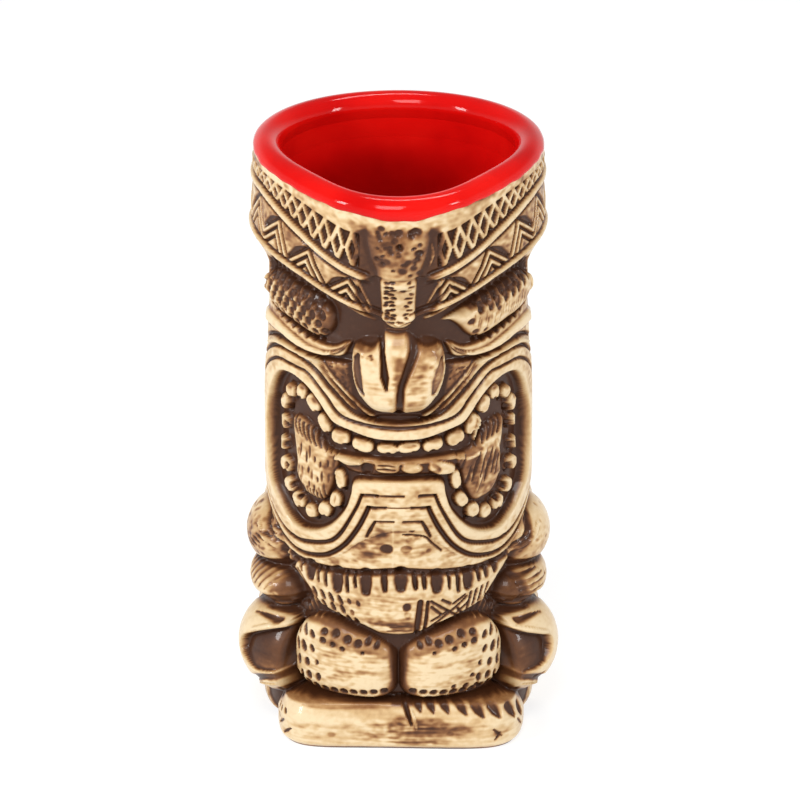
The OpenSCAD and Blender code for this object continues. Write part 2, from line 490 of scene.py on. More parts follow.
def zigzag():
    """Nested strips that follow a zigzag, with plain panels above and below them. The zigzag
    has short steep rises and long shallow falls."""
    route = [(12, 126.5), (18.8, 134.6), (29.3, 129.9), (36.5, 140), (48.9, 134.8), (54.6, 144.4)]
    pitch = (180 - 54.6) / 7
    for k in range(1, 8):
        peak = 54.6 + pitch * k
        route += [(peak - 6.3, 139.6), (peak, 147)]
    far_off = 9.0
    off = np.full_like(Z, far_off)
    for side in BOTH:
        rows, cols, far, _ = distance(sided(route, side), 5.0)
        off[rows, cols] = np.minimum(off[rows, cols], far)
    off = np.where(Z > table(B, *route), off, -off)
    band = gate(Z, table(B, *BAND_LOW) + 2.0, table(B, *CORD) - 1.6, 0.8) * smooth((B - 14) / 2)
    strips = gate(off, -3.5, 1.3, 0.3) * band
    strip_pitch = 1.8
    wave = np.cos(2 * np.pi * off / strip_pitch)
    groove = smooth((0.3 - wave) / 0.9)
    work(everywhere(band), 0.0, 0.4)
    work(everywhere(strips * groove), -1.1, 0.8, 1.1)
    work(everywhere(strips * smooth((wave - 0.1) / 0.6)), 0.1, 0.2, 1.0)
    for (a1, z1), (a0, z0) in zip(route[1::2], route[2::2]):
        leaf = [(a0 - 0.6, z0 + 2.0), ((a0 + a1) / 2, (z0 + z1) / 2 + 2.3), (a1 + 1.6, z1 + 1.0)]
        stroke(leaf, [0.3, 0.8, 0.3], -0.7, 0.85)


def keel():
    """The swelling in the middle of the headband and the stem below it, in a dark hollow."""
    hollow = [(0, 122.6), (7, 124), (13, 126), (16, 130), (14, 135.2), (9, 137), (0, 137)]
    facet(whole(hollow), 1.2, -0.9, 0.93, RIGHT)
    for side, strokes in ((-1, ((18.5, 131.8, 11.4, 126), (15.2, 135.6, 10.6, 127))),
                          (1, ((20.4, 133.6, 15.4, 128.6), (16, 135.4, 11.4, 128.6)))):
        for a0, z0, a1, z1 in strokes:
            stroke([(a0, z0), (a1, z1)], [0.5, 0.3], 0.5, 0.4, (side,))
    flank = [(0, 151), (8, 150.6), (13, 149.6), (16, 147.6), (16, 141), (13, 137.4), (8, 136), (0, 135)]
    facet(whole(flank), 3.2, -0.4, 0.86, RIGHT)
    boss = whole([(0, 158), (6, 158), (10.6, 155), (11.4, 148), (10, 143), (8, 138.6), (6.6, 134.6),
                  (0, 133)])
    for rows, cols, mask in cushion(boss, 9.0, RIGHT):
        rise = 1 - smooth((Z[rows, cols] - 145.5) / 7)
        R[rows, cols] += 1.9 * smooth(mask) * rise
        wash[rows, cols] = mix(wash[rows, cols], 0.68, smooth(mask * 1.3) * rise)
    tint([(-5, 140.6), (0, 139.6), (6, 140), (6.4, 136), (6, 133), (-6, 133), (-7, 137)], 2.0, 0.36, 0.9)
    top = [(-10, 152.4), (0, 154), (10, 152.4), (11, 149.4), (5, 148.8), (0, 150), (-5, 148.8),
           (-11, 149.4)]
    tint(top, 1.4, 0.2, 0.9)
    tint([(1.6, 147), (8, 148), (9.6, 143), (8, 138), (4, 136.6), (2.6, 141)], 2.0, 0.42, 0.8)
    rng = np.random.default_rng(4)
    for _ in range(46):
        a = rng.uniform(-8.6, 8.6)
        z = rng.uniform(138, 150)
        size = rng.uniform(0.5, 1.25)
        dab(a, z, size, size * rng.uniform(0.6, 1.1), rng.uniform(-60, 60), -0.35,
            rng.uniform(0.72, 0.95), RIGHT, 1.0, sharp=0.1)
    dots(((-3, 146.4, 1.9), (-4.4, 142, 1.5), (4.6, 149.4, 1.2), (-6, 150.4, 1), (1.4, 139.4, 1.4)),
         -0.3, 0.9, RIGHT, 0.8, 20, 0.1, 1)
    stroke([(11.6, 146), (12.2, 143), (11, 140)], [0.2, 0.4, 0.2], 0.3, 0.5, RIGHT, 0.9)
    stem = [(0, 121.2), (3.5, 121.8), (6.4, 124), (6.6, 131), (6.6, 135.6), (4.6, 138.4), (0, 139)]
    for rows, cols, mask in cushion(whole(stem), 1.2, RIGHT):
        rise = 1 - smooth((Z[rows, cols] - 134) / 4.5)
        R[rows, cols] += 1.7 * mask * rise
        wash[rows, cols] = mix(wash[rows, cols], 0.2, np.clip(mask * rise * 1.4, 0, 1))
    rng = np.random.default_rng(5)
    for row in range(11):
        z = 123.4 + 1.25 * row
        for a, size in ((-4.4, 0.75), (-2.2, 0.85)):
            dab(a + rng.uniform(-0.5, 0.5), z + rng.uniform(-0.3, 0.3), size, 0.5, rng.uniform(-30, 30),
                -0.6, rng.uniform(0.8, 0.97), RIGHT)
        a = rng.uniform(0.4, 5.2)
        dab(a, z, rng.uniform(0.6, 1.3), 0.45, rng.uniform(-40, 40), -0.4, rng.uniform(0.45, 0.85), RIGHT)


def headband():
    """Everything on the headband, on wash of an even tone."""
    work(everywhere(smooth(Z - table(B, *BAND_LOW))), 0.0, 0.24)
    chain()
    zigzag()
    cords()
    keel()


# ------------------------------------------------------------------ eyes
def eyes():
    """Sunken eyes with bulging dimpled balls, dark brows that are partly painted shade under the
    headband, lashes of dimples and a rolled lid.
    """
    socket = [(6, 120.6), (9, 122.4), (16, 124.2), (24, 126.4), (34, 129), (46, 131.6), (60, 132.6),
              (70, 131), (73, 125), (72, 120), (60, 117.4), (48, 116), (36, 114.2), (28, 114.2),
              (22, 116), (16, 116.6), (9, 117)]
    facet(socket, 1.0, -1.5, 0.93)
    outer = [(34, 115.9), (40, 116), (46, 116.8), (53, 117.6), (61, 118), (69, 119), (75, 122), (72, 127),
             (62, 129), (50, 128.2), (38, 127)]
    work(cushion([(18, 122.4), (22, 121.9), (26, 120), (30, 117.4)] + outer
                 + [(30, 125.6), (24, 124.2)], 4.0, RIGHT), 3.0, 0.22)
    work(cushion([(27.6, 120.4), (30, 117.6)] + outer + [(31, 125.4), (28, 123.4)], 4.0, LEFT), 3.0, 0.28)
    # The brows under the headband's edge: a shallow cut, and a dark wash there that is partly painted
    # shade under the headband's overhang.
    shaded_brow = [(22, 127), (32, 127.8), (42, 129.4), (56, 131), (72, 130), (74, 126.8), (62, 127),
            (50, 126.2), (40, 125), (32, 124), (26, 123.4)]
    facet(shaded_brow, 1.8, -0.5, 0.88, cover=1.0)
    # Painted shade over the upper inner part of the left eye, under the headband's overhang.
    facet([(25, 125), (33, 126.6), (41, 126.8), (41, 124), (36, 121.6), (33.6, 119), (31, 116.8),
           (25, 117.4)], 3.2, -0.7, 0.95, LEFT, 1.2)
    rng = np.random.default_rng(21)
    for side in BOTH:
        for row in range(5):
            for k in range(9):
                a = 32.0 + 4.7 * k + 2.35 * (row % 2) + rng.uniform(-0.5, 0.5)
                z = table(a, (30, 118), (36, 117.4), (46, 118.4), (56, 119.3), (72, 121)) + 2.15 * row
                tall = 1.05 + 0.25 * row
                tone = (0.68, 0.74, 0.82, 0.9, 0.95)[row] + rng.uniform(-0.12, 0.06)
                if side == 1 and row < 3:
                    continue
                dab(a + 0.5 * row, z, 1.2, 1.05 * tall, 10, -0.9, tone, (side,), sharp=0.4)
    dots(((31, 121, 1.4), (35.6, 123.4, 1.2), (33.6, 117.8, 1.2), (38.6, 117.6, 0.9), (45.4, 122.6, 1)),
         -0.5, 0.8, RIGHT, 0.9, sharp=0.1)
    for k in range(22):
        a = 68 - 1.7 * k + rng.uniform(-0.5, 0.5)
        z = rng.uniform(119.4, 122.6)
        stroke([(a + 0.5, z + 1.8), (a, z), (a - 0.3, z - 1.6)], [0.1, 0.3, 0.1],
               -0.15, rng.uniform(0.35, 0.6), RIGHT, 0.9)
    tint([(33, 123), (42, 124.6), (52, 124.8), (50, 121), (42, 120.4), (36, 120.4)], 2, 0.42, 0.6)
    lash = ((69, 119.4), (64.5, 118.4), (60, 117.6), (55.4, 117.1), (51, 116.6), (46.6, 116),
            (42.4, 115.4), (38.4, 115.2), (34.4, 115.6))
    dots([(a, z, 1) for a, z in lash], -1.2, 0.95, flat=1.3, sharp=0.4)
    facet([(17.6, 122.4), (22, 124.2), (29, 125), (31, 122.4), (27, 120.8), (23, 121.8)],
          1.2, 0.2, 0.26, RIGHT, 1.0)
    lid = [(21.6, 115.6), (24, 114), (28, 112.7), (33, 111.9), (40, 112), (50, 113.2), (60, 114),
           (70, 114.2), (80, 113.6)]
    stroke(lid, [0.1, 0.4, 0.7, 0.9, 1.1, 1.4, 1.8, 1.9, 1.6], 1.0, 0.12)
    stroke(lid[:3], [0.4, 0.6, 0.7], -0.2, 0.6)


# ------------------------------------------------------------------ nose and cheeks
def cheeks():
    """The dark hollow beside the nose, with a paler slanting plane in each cheek."""
    hollow = [(0, 120.6), (8, 120.8), (17, 118.5), (20.5, 115.5), (24, 112), (31, 110.9), (38, 110.6),
              (35, 108.6), (30, 105.4), (25, 102.2), (19, 98.8), (13, 95.8), (0, 94.6)]
    facet(whole(hollow), 1.0, -1.5, 0.9, RIGHT)
    facet([(22.4, 110), (32.4, 110), (31, 107), (26, 103.2), (19.6, 100), (19.8, 103.4), (21.4, 107)],
          1.6, 0.5, 0.56)
    freckles(41, 34, 21, 31, 102, 109.8, 0.55, (0.3, 0.5), BOTH)
    freckles(42, 24, 21, 31, 102, 109.8, 0.5, (0.8, 0.95), BOTH)


def nose():
    """The broad nose, with a cut down each side of its ridge and its nostrils."""
    outline = [(0, 121.2), (5, 121.2), (9, 120.2), (15.4, 118.8), (18.8, 115.8), (19.4, 111.6),
               (18.4, 107.4), (16, 103.4), (12.4, 100.2), (8.2, 98.6), (2.2, 98.2), (0, 98.3)]
    for rows, cols, mask in cushion(whole(outline), 4.4, RIGHT):
        z = Z[rows, cols]
        rise = table(z, (98, 0.96), (103, 1.0), (110, 0.94), (116, 0.76), (119, 0.55), (121.5, 0.25))
        R[rows, cols] += 7.2 * mask * rise
        wash[rows, cols] = mix(wash[rows, cols], 0.16, np.clip(mask * 1.6, 0, 1))
    brushed(area([(-19, 108), (0, 112), (19, 108), (14, 99), (-14, 99)], 3, RIGHT), 1.0)
    cut = [(8.6, 122), (7.4, 120), (6.4, 117.6), (5.8, 114.3), (5.1, 110.3), (4.3, 106.3)]
    stroke(cut, [1.2, 1.0, 0.7, 0.85, 1.15, 0.3], -1.8, 0.95, LEFT)
    cut = [(8.4, 122), (6.8, 119.8), (5.7, 115.7), (3.9, 112.4), (2.3, 109.6), (0.8, 106), (0.2, 98)]
    stroke(cut, [2.3, 2.1, 1.5, 1.2, 1.1, 1.4, 1.5], -1.5, 0.93, RIGHT, sharp=0.2)
    tint([(-1.4, 114.6), (3.6, 114.4), (3.4, 110), (1.6, 106), (-1.6, 106), (-1.6, 111)], 1.4, 0.74, 1.0)
    tint([(-3.4, 106), (0, 106.4), (0, 98.4), (-3.2, 98.6)], 1.2, 0.46, 0.8)
    stroke([(3.4, 119.4), (4.0, 116.4), (2.8, 113.8)], 0.7, 0.0, 0.6, RIGHT)
    nostril = [(15.4, 114.4), (16.3, 111.7), (15.6, 108.8), (14.3, 106), (12.8, 104.4)]
    stroke(nostril, [0.6, 1.7, 1.8, 1.3, 0.4], -1.0, 0.97, LEFT, sharp=0.5)
    stroke([(16.8, 113.4), (15.8, 110.7), (14.4, 107.9), (13, 105)], [0.5, 1.7, 1.9, 0.9],
           -0.8, 0.72, RIGHT, sharp=0.4)
    freckles(43, 12, 12.6, 17, 104.6, 110, 0.4, (0.3, 0.5), RIGHT)
    stroke([(17.6, 114.4), (18.2, 110), (16.8, 106), (14.6, 103.4)], [0.3, 0.4, 0.4, 0.3], 0.4, 0.14)
    facet([(8.6, 120.6), (18, 118.6), (19.4, 115.4), (16.4, 115.8), (12, 115.6), (8.6, 117)],
          1.8, -0.3, 0.86, LEFT)
    freckles(44, 20, 9, 17.6, 113.6, 117.6, 0.6, (0.3, 0.95), LEFT)
    facet([(7.6, 121), (18, 118.6), (19.2, 114.4), (15, 113.6), (11, 114.6), (7.4, 117)],
          2.2, -0.2, 0.72, RIGHT)
    freckles(45, 10, 11, 18, 112.6, 117.4, 0.6, (0.25, 0.4), RIGHT)
    freckles(46, 14, 11.4, 18, 108, 114, 0.9, (0.4, 0.7), RIGHT)
    tint([(3.2, 108.4), (8.6, 110.6), (9.8, 105), (8.6, 99.4), (2.8, 98.8)], 1.8, 0.44, 0.9)
    tint([(4.4, 114), (9.6, 115.4), (10.4, 112.4), (7.6, 110.2), (4.6, 110)], 1.8, 0.66, 0.9)
    tint([(-2, 119), (3, 119), (3, 116.6), (-2, 116.8)], 1.2, 0.5, 0.8)


# ------------------------------------------------------------------ mouth
LIP_EDGE = [(0, 90), (10, 90.3), (20, 91.9), (27, 93.2), (30.5, 95.2), (35, 98.6), (40, 101.3),
            (45, 102.7), (50, 103.2), (57, 102.2), (62, 99), (66, 94), (68.5, 88), (69, 82), (68, 75),
            (65.5, 69.5), (60, 65.4), (55, 62.8), (50, 60.9), (45, 60.1), (40, 60.5), (35, 61.6),
            (30, 63.6), (25.5, 66.6), (22, 70), (20, 74), (18.6, 77.6), (12, 78.6), (0, 78.8)]


def lips():
    """The full rolls of clay round the mouth, which the lines are cut into."""
    outer = [(0, 97), (10, 97.5), (20, 100), (30, 106), (40, 111), (52, 113), (66, 110), (76, 103),
             (80, 92), (80, 76), (76, 62), (66, 54), (52, 50.5), (38, 51.5), (26, 55), (14, 61), (0, 64)]
    work(cushion(whole(outer), 9.0, RIGHT), 1.0)


def lip_lines():
    """The lines over the upper lip, which follow the mouth."""
    gap = [(21, 111.4), (26, 110.8), (33, 110.6), (40, 110.8), (50, 111.4), (58, 111.6), (65, 110.9),
           (71, 109.4), (77, 107)]
    stroke(gap, [1.4, 1.2, 1.0, 0.8, 0.75, 0.75, 0.7, 0.6, 0.4], -1.1, 0.92)
    first = [(10, 96.2), (15, 98), (20, 100.6), (25, 103.4), (30, 106.2), (35, 109), (42, 109.9),
             (50, 110.4), (60, 110.2), (68, 108.2)]
    stroke(first, 0.55, 0.7, 0.14)
    second = [(9, 95.2), (15, 96.3), (20, 98), (25, 100.7), (30, 103.5), (35, 106.4), (40, 108.2),
              (45, 109.1), (50, 109.4), (55, 109.4), (60, 108.9), (65, 107.7), (70, 105.5), (75, 102.4),
              (79, 98)]
    stroke(second, [0.4, 0.7, 0.7, 0.75, 0.75, 0.7, 0.6, 0.6, 0.5, 0.4], -1.1, 0.92)
    third = [(0, 93.5), (6, 93.7), (11, 94), (15, 94.4), (20, 95), (24, 95.9), (27, 97.5), (30, 99.9),
             (35, 103), (40, 105.5), (45, 106), (50, 106.2), (57, 106), (62, 104.9), (68, 102.4),
             (73, 98.6), (76, 94)]
    stroke(across(third), [0.35, 0.5, 0.5, 0.5, 0.5, 0.55, 0.6, 0.8, 0.6, 0.55, 0.5, 0.5, 0.5, 0.5,
                           0.35], -0.9, 0.88, RIGHT)
    stroke(across([(0, 95.6), (8, 95.7), (13, 96)]), [0.5, 1.1, 1.3, 1.1, 0.5], -0.9, 0.96, RIGHT)


def mouth():
    """The dark channel round the mouth, which the teeth stand in."""
    facet(whole(LIP_EDGE), 1.3, -3.3, 0.95, RIGHT, 1.0)
    facet([(60, 92), (66, 93), (69, 87), (68, 78), (63, 74), (60, 80)], 2.0, -1.0, 0.9)


def teeth():
    """Small uneven teeth in the dark channel round the mouth: centre, half sizes and lean."""
    row = [(4.6, 87.4, 3.0, 1.4, 0), (14.8, 88, 3.0, 1.8, -8), (25, 89.2, 2.8, 2.1, -10),
           (32.6, 92, 1.7, 2.9, 14), (38.6, 96.6, 1.9, 2.6, 24), (45.2, 98.9, 1.7, 2.1, 0),
           (52.2, 97.6, 2.0, 2.0, -15), (57, 93.4, 1.9, 2.5, 0), (58, 87.8, 2.1, 2.0, 0),
           (58.8, 81.2, 2.2, 2.0, 0), (56.8, 76, 2.3, 2.1, 0), (53.2, 70.6, 2.2, 2.3, 10),
           (47.6, 67, 2.3, 2.4, 14), (40.6, 65.4, 2.1, 2.2, 0), (33.2, 67, 2.2, 2.4, -14),
           (27.8, 71.2, 1.9, 2.4, -20), (24.6, 77.4, 1.5, 3.0, 0)]
    rng = np.random.default_rng(8)
    for side in BOTH:
        for k, (a, z, wide, tall, lean) in enumerate(row):
            a = a + rng.uniform(-0.5, 0.5)
            z = z + rng.uniform(-0.3, 0.3)
            lean = lean + rng.uniform(-20, 20)
            size = 1.15 * rng.uniform(0.92, 1.06)
            size = size if k < 6 else size * 0.93
            dab(a, z, wide * size, tall * size, lean, 2.1, 0.2, (side,), 1.2, blunt=2.6, sharp=0.4)
            notch = rng.uniform(-1, 1)
            dab(a + notch * wide / ARC * 0.7, z - tall * 0.95, wide * 0.4, tall * 0.36, 0, -1.1, 0.84,
                (side,))
    worn = ((14.8, 89.6, 2.4, 1.0, 0.56), (25, 91, 2.2, 1.0, 0.56), (36.8, 98, 1.8, 1.4, 0.62),
            (44.4, 100.4, 1.8, 1.0, 0.66), (52.8, 99, 1.6, 1.0, 0.66), (58.6, 95.2, 1.2, 1.4, 0.6),
            (4.6, 88.2, 2.6, 0.8, 0.46), (31, 93.4, 1.0, 1.6, 0.5), (41.4, 66.8, 1.4, 0.8, 0.4))
    for a, z, wide, tall, tone in worn:
        dab(a, z, wide, tall, 0, -0.3, tone, sharp=0.1)
    inner_ends = ((54.6, 92.2, 60), (55.8, 87.2, 80), (56.6, 81, 80), (54.8, 75.6, 70),
                  (51.4, 70.6, 60), (46.4, 68.2, 40))
    for a, z, lean in inner_ends:
        dab(a, z, 1.5, 1.1, lean, -1.9, 0.9, RIGHT, sharp=0.3)
        dab(a, z + 0.2, 1.2, 0.9, lean, -1.6, 0.88, LEFT, sharp=0.3)
    stroke([(36.4, 93.4), (35, 90), (33.4, 86.6)], [0.8, 0.7, 0.1], 1.8, 0.2, RIGHT)


def between_teeth():
    """The broken row of low blocks in the middle of the mouth, between the two tongue ends."""
    facet([(-25, 84.8), (-12, 84.2), (0, 84), (12, 84.2), (25, 84.4), (24, 80), (14, 79.6), (0, 80),
           (-10, 79.4), (-22, 80.4)], 1.6, 1.5, 0.7, RIGHT)
    stroke([(-30, 84.2), (-14, 83.6), (0, 83.4), (14, 83.7), (28, 83.8)], [0.8, 1.0, 0.7, 1.0, 0.8],
           0.5, 0.52, RIGHT)
    stroke([(25.6, 83.8), (20.6, 83), (16, 83.2)], [1.0, 1.3, 0.8], 1.6, 0.24, LEFT)
    dab(13.2, 81.2, 1.9, 2.0, 0, -0.8, 0.96, LEFT, sharp=0.5)
    dab(4.6, 82.2, 3.6, 1.7, 0, 1.1, 0.44, LEFT, blunt=3, sharp=0.3)
    for z in (82.9, 81.7):
        stroke([(8.4, z + 0.1), (1.6, z)], [0.2, 0.35, 0.2], -0.7, 0.88, LEFT)
    dab(5.6, 81.9, 3.4, 1.6, 4, 1.3, 0.4, RIGHT, sharp=0.2)
    dab(8, 82.3, 1.4, 0.9, 0, 0.1, 0.24, RIGHT)
    dab(18.4, 81.4, 4.2, 2.1, 14, 1.7, 0.24, RIGHT, blunt=2.4, sharp=0.3)
    stroke([(14, 80.4), (16.4, 81.4), (14.6, 82.8)], [0.9, 0.8, 0.7], -0.3, 0.66, RIGHT)


def tongue():
    """The tongue's two ends, which fill the corners of the mouth."""
    form = [(50.6, 91), (46, 91.4), (41, 90.2), (36.6, 88.2), (33, 86), (29, 84.8), (25.4, 84.2),
            (25.4, 82), (26.8, 79), (29, 74.4), (31.6, 71), (34.6, 69.6), (38.4, 69.8), (44, 71),
            (48.6, 75), (48.8, 79), (50, 84), (51, 88)]
    work(cushion(form, 2.6, LEFT), 2.5, 0.24, 1.3)
    work(cushion(form, 2.6, RIGHT), 2.3, 0.62, 1.3)
    rng = np.random.default_rng(9)
    for k in range(8):
        a = 47.6 - 2.4 * k
        z = 88.6 - 0.42 * k
        stroke([(a + 1.4, z + 2.2), (a, z), (a - 1.8, z - 1.6)], [0.6, 0.55, 0.2],
               -0.7, rng.uniform(0.65, 0.9), LEFT)
    for row, z in ((0, 82.2), (1, 77.4), (2, 73.2)):
        for k in range(8):
            a = 46.6 - 2.6 * k - 0.6 * row + rng.uniform(-0.7, 0.7)
            tall = rng.uniform(1.0, 2.6)
            dab(a, z - 0.12 * k + rng.uniform(-1.4, 1.4), 0.45, tall, rng.uniform(-14, 4), -0.3,
                rng.uniform(0.35, 0.7), LEFT, sharp=0.1)
    facet([(26, 84), (31, 82.6), (33.6, 78), (32, 72), (29, 74)], 1.6, -0.2, 0.62, LEFT, 0.9)
    for k in range(8):
        a = 44.4 - 1.7 * k
        stroke([(a, 72.6 + 0.05 * (k - 4) ** 2), (a - 0.3, 69.6)], [0.2, 0.5],
               -0.6, rng.uniform(0.7, 0.9), LEFT)
    # A pale patch on the right tongue end: a painted sheen where the glaze catches the light.
    facet([(37, 85.6), (48, 88), (49.4, 84.6), (42, 82.6)], 1.4, 0.1, 0.26, RIGHT, 0.8)
    pale = (([(25.4, 83.4), (31, 82.8), (38, 83.6)], [0.6, 0.6, 0.9]),
            ([(38.4, 84.4), (37, 80), (36, 76), (33.8, 72.6)], [1.0, 0.7, 0.6, 0.2]),
            ([(45, 85), (47.4, 80), (47.6, 75)], [0.6, 0.5, 0.1]),
            ([(35.4, 88), (37.4, 85.4)], [0.2, 0.6]), ([(48.6, 91.4), (46.8, 87.6)], [0.3, 0.6]))
    for points, half in pale:
        stroke(points, half, 0.4, 0.3, RIGHT, 1.0, sharp=0.1)
    for k in range(9):
        a = 46.4 - 2.2 * k + rng.uniform(-0.9, 0.9)
        z = rng.uniform(-3, 3)
        stroke([(a + 0.9, 81.4 + z), (a, 78.6 + z), (a - 1.6, 75.6 + z)],
               [0.2, rng.uniform(0.5, 0.9), 0.2], -0.4, rng.uniform(0.7, 0.95), RIGHT, sharp=0.1)
    for k in range(5):
        stroke([(48 - 2.8 * k, 91 - 0.5 * k), (45.4 - 2.8 * k, 87.6 - 0.5 * k)], [0.8, 0.4],
               -0.6, rng.uniform(0.85, 0.95), RIGHT)


def lower_lip():
    """The lines under the mouth, with the steps of the chin between them."""
    cut = [(15, 74.3), (16.6, 71.4), (18.4, 69), (20.7, 66.2), (23.6, 63), (26.6, 60.5), (30, 58.8),
           (35, 57.6), (40, 56.8), (45, 56.2), (50, 56.4), (55, 57.1), (60, 58.5), (65, 60.6), (70, 63.6),
           (75, 67.5)]
    stroke(cut, [0.45, 0.5, 0.65, 0.75, 0.75, 0.7, 0.6, 0.45], -1.1, 0.93)
    stroke([(14.9, 74.4), (8.6, 74.5)], 0.5, -0.8, 0.85, bend=False)
    stroke([(-9, 74.5), (2, 74.6)], 0.32, -0.5, 0.7, RIGHT)
    cut = [(12.2, 70.9), (13.8, 68.4), (16.2, 65.2), (19, 62.2), (22, 59.5), (25, 57.5), (28, 55.9),
           (32, 54.3), (36, 53.4), (40, 52.8), (45, 52.4), (50, 52.7), (55, 53.7), (60, 55.3), (65, 57.4),
           (70, 60), (75, 63)]
    stroke(cut, [0.7, 0.8, 0.8, 0.85, 0.85, 0.8, 0.6, 0.4], -1.3, 0.95)
    stroke([(12.2, 71), (5, 71.3)], [0.6, 0.35], -0.8, 0.88, bend=False)
    stroke([(-5, 71.3), (5, 71.3)], 0.25, -0.3, 0.5, RIGHT)
    stroke([(9.6, 66.9), (11.4, 64.6), (13.4, 62)], [0.4, 0.6, 0.4], -0.8, 0.88)
    stroke([(9.6, 67), (2, 67)], 0.35, -0.6, 0.82, bend=False)
    stroke([(2, 62.9), (10.5, 62.2), (14, 60), (18.5, 57.2)], [0.25, 0.35, 0.3], -0.6, 0.8, RIGHT)
    dab(5.6, 64, 0.9, 0.25, 0, -0.4, 0.7, RIGHT)
    stroke([(50, 50.6), (56, 51.2), (62, 52.8), (68, 55.4), (74, 58.6)], [0.4, 0.5, 0.5, 0.4], -0.8, 0.86)
    stroke([(48, 49.5), (56, 49.8), (64, 51.4), (72, 54.6)], [0.4, 0.6, 0.6, 0.4], 0.5, 0.15)


# ------------------------------------------------------------------ chin and beard
def chin():
    """The smooth pale chin with its small hollow."""
    freckles(61, 12, -30, 30, 52.5, 66, 1.6, (0.28, 0.4), RIGHT)
    brushed(area([(-40, 66), (0, 72), (40, 66), (40, 52), (0, 51), (-40, 52)], 3, RIGHT), 0.7)
    dab(5, 58.5, 2.1, 1.6, 0, -0.4, 0.9, LEFT)
    tint([(5, 57.5), (12, 58.4), (18, 55.4), (14, 54.8), (8, 56)], 1.6, 0.42, 1.0, LEFT)
    dab(3.2, 58.4, 1.9, 1.4, 0, -0.2, 0.4, RIGHT)
    stroke([(-2.2, 66), (-2.4, 52)], 0.3, 0.1, 0.08, RIGHT, 0.5)


def beard():
    """The beard stands a little behind the chin; gouges under the chin make its fringe."""
    low = [(0, 32.6), (8, 33), (15, 34.8), (25, 36.6), (35, 38.3), (40, 39.8), (45, 42.8), (50, 45.2),
           (56, 48.4), (52, 49.6), (45, 49.6), (38, 49.3), (30, 49.7), (22, 50.3), (15, 50.6), (8, 51.4),
           (0, 51.8)]
    work(cushion(whole(low), 2.6, RIGHT), 0.9, 0.16)
    top_edge = [(54, 49.9), (46, 49.6), (38, 49.5), (30, 49.9), (22, 50.4), (14, 50.9), (6, 51.6),
                (0, 51.9)]
    stroke(top_edge, 1.15, -1.0, 0.93)
    gouges = ((-58, 50.4, 1.2, 49.4), (-51.5, 49.6, 1.5, 47.4), (-46.5, 49, 0.45, 46.2),
              (-41, 49.5, 1.7, 45.6), (-36.8, 49.3, 0.5, 45.2), (-33, 49.4, 0.55, 44.6),
              (-27, 49.8, 1.8, 44.4), (-22.6, 49.8, 0.55, 44.2), (-19, 50, 0.5, 46),
              (-14, 50.6, 1.7, 44.9), (-6.2, 51.2, 0.9, 45.8), (1, 51.4, 1.9, 46.6),
              (6.8, 50.6, 0.8, 46.4), (10.8, 50.2, 0.7, 46.2), (16.6, 50, 1.8, 45.4),
              (21.8, 49.6, 0.45, 45), (26, 49.4, 0.65, 43.8), (31.2, 49.2, 1.7, 44.6),
              (36.2, 48.9, 0.7, 45.6), (40.4, 48.6, 0.8, 45.8), (46, 49, 1.2, 46.6))
    for a, high, half, z in gouges:
        shift = 0.5 if half < 1 else 0.0
        stroke([(a, high), (a + shift * 0.5, (high + z) / 2), (a + shift, z + 0.6)],
               [half * 1.15, half * 1.2, half * 0.85], -1.1, 0.94, RIGHT, sharp=0.4)


def beard_marks():
    """Slanting dimples on one side of the beard and a crosshatch on the other."""
    brushed(area([(-24, 44), (0, 45), (12, 44), (12, 34), (0, 33), (-24, 37)], 2, RIGHT), 1.0)
    for k, a in enumerate((38.4, 34.2, 30, 25.6)):
        dab(a, 42.2 - 0.1 * k, 0.7, 1.7, 28, -0.8, 0.88, LEFT)
    for a, z in ((33.6, 39.4), (29, 39.4), (24.4, 39.2), (26, 36.8), (21.6, 36.6), (18, 36.2)):
        dab(a, z, 0.7, 1.5, 28, -0.7, 0.85, LEFT)
    for a, z, tone in ((21.4, 42, 0.5), (17.4, 41.8, 0.34), (20, 38.8, 0.3)):
        dab(a, z, 0.7, 1.1, 20, -0.3, tone, LEFT)
    for shift in (0, 1.6):
        stroke([(50 - shift, 46.6 + shift * 0.2), (43, 42.4 + shift * 0.6), (36, 38.4 + shift * 0.6)],
               [0.3, 0.45, 0.3], -0.5, 0.8, LEFT)
    tint([(-13, 36.6), (-6, 37.2), (3, 36.8), (8, 37), (8, 33.4), (0, 32.8), (-8, 33.4)], 1.6, 0.58, 0.8)
    for z, a0, a1 in ((34.2, -6, 6), (35.4, -4, 7)):
        stroke([(a0, z), ((a0 + a1) / 2, z + 0.3), (a1, z + 0.1)], [0.1, 0.25, 0.1], -0.2, 0.85, RIGHT)
    dab(3.6, 41.4, 1.4, 1.4, 0, -0.4, 0.72, RIGHT)
    dab(4, 39.2, 1.2, 1.4, 0, -0.1, 0.46, RIGHT)
    stroke([(9.4, 42.6), (8.6, 38), (7.6, 33)], [1.0, 1.1, 0.9], -0.9, 0.92, RIGHT, sharp=0.3)
    stroke([(12.6, 42.6), (12, 38), (11, 33.4)], [0.5, 0.6, 0.6], -0.8, 0.9, RIGHT, sharp=0.3)
    crosshatch = ((14, 42.6, 27.5, 36.4), (14.2, 41, 18.4, 38.4), (19, 42.6, 22.6, 41.2),
                  (14, 35, 30.5, 42.2), (14.4, 36.8, 21.4, 39), (16, 34.6, 24.5, 36.2),
                  (24, 41, 29.5, 42.8), (26, 38.2, 31, 40.4), (26, 39.4, 28.6, 37.2))
    for a0, z0, a1, z1 in crosshatch:
        stroke([(a0, z0), (a1, z1)], 0.42, -0.6, 0.85, RIGHT)
    for a in (32, 34.8, 37.8, 41):
        stroke([(a + 0.6, 43.2 + (a - 32) * 0.1), (a - 1.2, 38.6 + (a - 32) * 0.25)],
               0.5, -0.7, 0.85, RIGHT)


